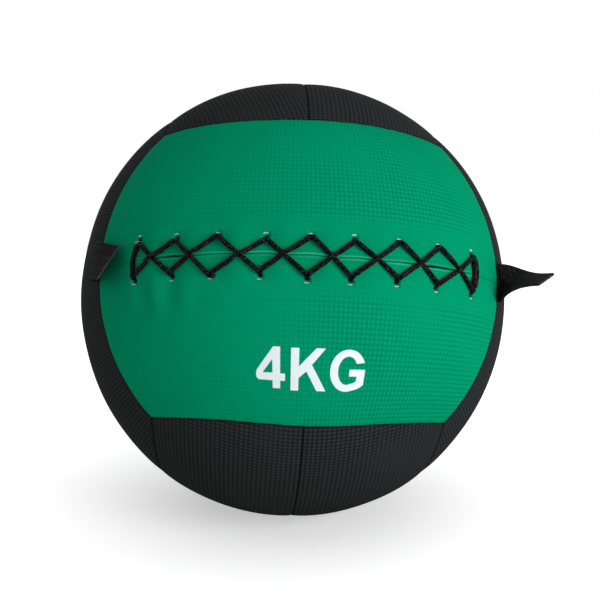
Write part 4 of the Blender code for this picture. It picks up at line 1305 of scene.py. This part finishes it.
dark_grit, tree, shader, place = new_finish("loose_iron_grit", 0.55)
shader.inputs["Metallic"].default_value = 0.8
grains = add_node(tree, "TexVoronoi", {"Vector": place, "Scale": 1 / GRAIN_PITCH})
grain_shade = add_node(tree, "SeparateXYZ", [grains.node.outputs["Color"]])
give_finish(tree, shader, "2A2725", [(grain_shade, "6A625C")], (grains, -GRAIN_PITCH / 2))
grit_radius = BAG_RADIUS - BAG_THICK - GRIT_GAP
grit_form = bmesh.new()
bmesh.ops.create_icosphere(grit_form, subdivisions=5, radius=grit_radius)
points = places(grit_form)
points *= (1 - GRIT_LUMP * (1 + uneven(points, GRIT_LUMP_SIZE)) / 2)[:, None]
points[:, 2] = np.minimum(points[:, 2], GRIT_TOP)
move_to(grit_form, stand(points))
add_piece("iron_grit", grit_form, dark_grit, "iron_sand", ["core_sand"])


# Tie of the core bag, the same black braid as the lace in a thinner cord. It is wound twice and a half round
# the gathered neck and pulled tight.
TIE_RADIUS = 0.0009
TIE_TURNS = 2.5

turn = np.linspace(0, TIE_TURNS * math.tau, 80)
tie_radius = np.full(80, BAG_NECK[0] * 1.1 + TIE_RADIUS + 0.0002)
tie_height = BAG_NECK[1] + (turn / turn[-1] - 0.5) * TIE_TURNS * TIE_RADIUS * 2.05
tie_points = np.stack([np.cos(turn) * tie_radius, np.sin(turn) * tie_radius, tie_height], axis=1)
route, route_radii, route_stations = smooth_route(tie_points, np.full(80, TIE_RADIUS), LACE_STATION)
tie_sheet = sweep(stand(route), route_radii, route_stations, 16, braid_relief)
add_piece("core_neck_tie", tie_sheet, black_braid, "black_braid", ["core_tie"])


# Floor and backdrop, a pale sheet under the ball that turns white with distance, with soft lamps at the
# right, the left and above.
floor_paint, tree, shader, place = new_finish("pale_studio_floor", 0.9, 0.1)
shader.inputs["Base Color"].default_value = linear("F2F2F2")
shader.inputs["Emission Color"].default_value = (1, 1, 1, 1)
from_ball = add_node(tree, "VectorMath", [place], "Value", operation="LENGTH")
whitening = add_node(tree, "MapRange", (from_ball, 0.08, 0.5, 0.45, 1))
seen = add_node(tree, "LightPath", output="Is Camera Ray")
glow = add_node(tree, "Math", (seen, whitening), operation="MULTIPLY")
tree.links.new(glow, shader.inputs["Emission Strength"])
floor_sheet = bmesh.new()
bmesh.ops.create_grid(floor_sheet, x_segments=1, y_segments=1, size=8)
add_piece("floor", floor_sheet, floor_paint, body=None)

studio = bpy.data.worlds.new("studio")
scene.world = studio
studio.use_nodes = True
tree = studio.node_tree
sky = tree.nodes["Background"]
sky.inputs["Color"].default_value = (1, 1, 1, 1)
shown = add_node(tree, "LightPath", output="Is Camera Ray")
for kind in ("Is Glossy Ray", "Is Transmission Ray"):
    shown = add_node(tree, "Math", (shown, add_node(tree, "LightPath", output=kind)), operation="MAXIMUM")
strength = add_node(tree, "MapRange", {"Value": shown, "To Min": 0.42, "To Max": 1})
tree.links.new(strength, sky.inputs["Strength"])


def add_lamp(name, location, size, power):
    """Soft square lamp that faces the ball."""
    data = bpy.data.lights.new(name, "AREA")
    data.size = size
    data.energy = power
    lamp = bpy.data.objects.new(name, data)
    scene.collection.objects.link(lamp)
    lamp.location = location
    lamp.rotation_euler = (BALL_CENTRE - Vector(location)).to_track_quat("-Z", "Y").to_euler()


add_lamp("key_lamp", (0.95, -1.05, 0.42), 0.7, 14.5)
add_lamp("fill_lamp", (-1.3, -0.9, 0.12), 1.2, 3.6)
add_lamp("top_lamp", (0.1, -0.5, 1.5), 1.2, 1)

scene.view_settings.view_transform = "Standard"
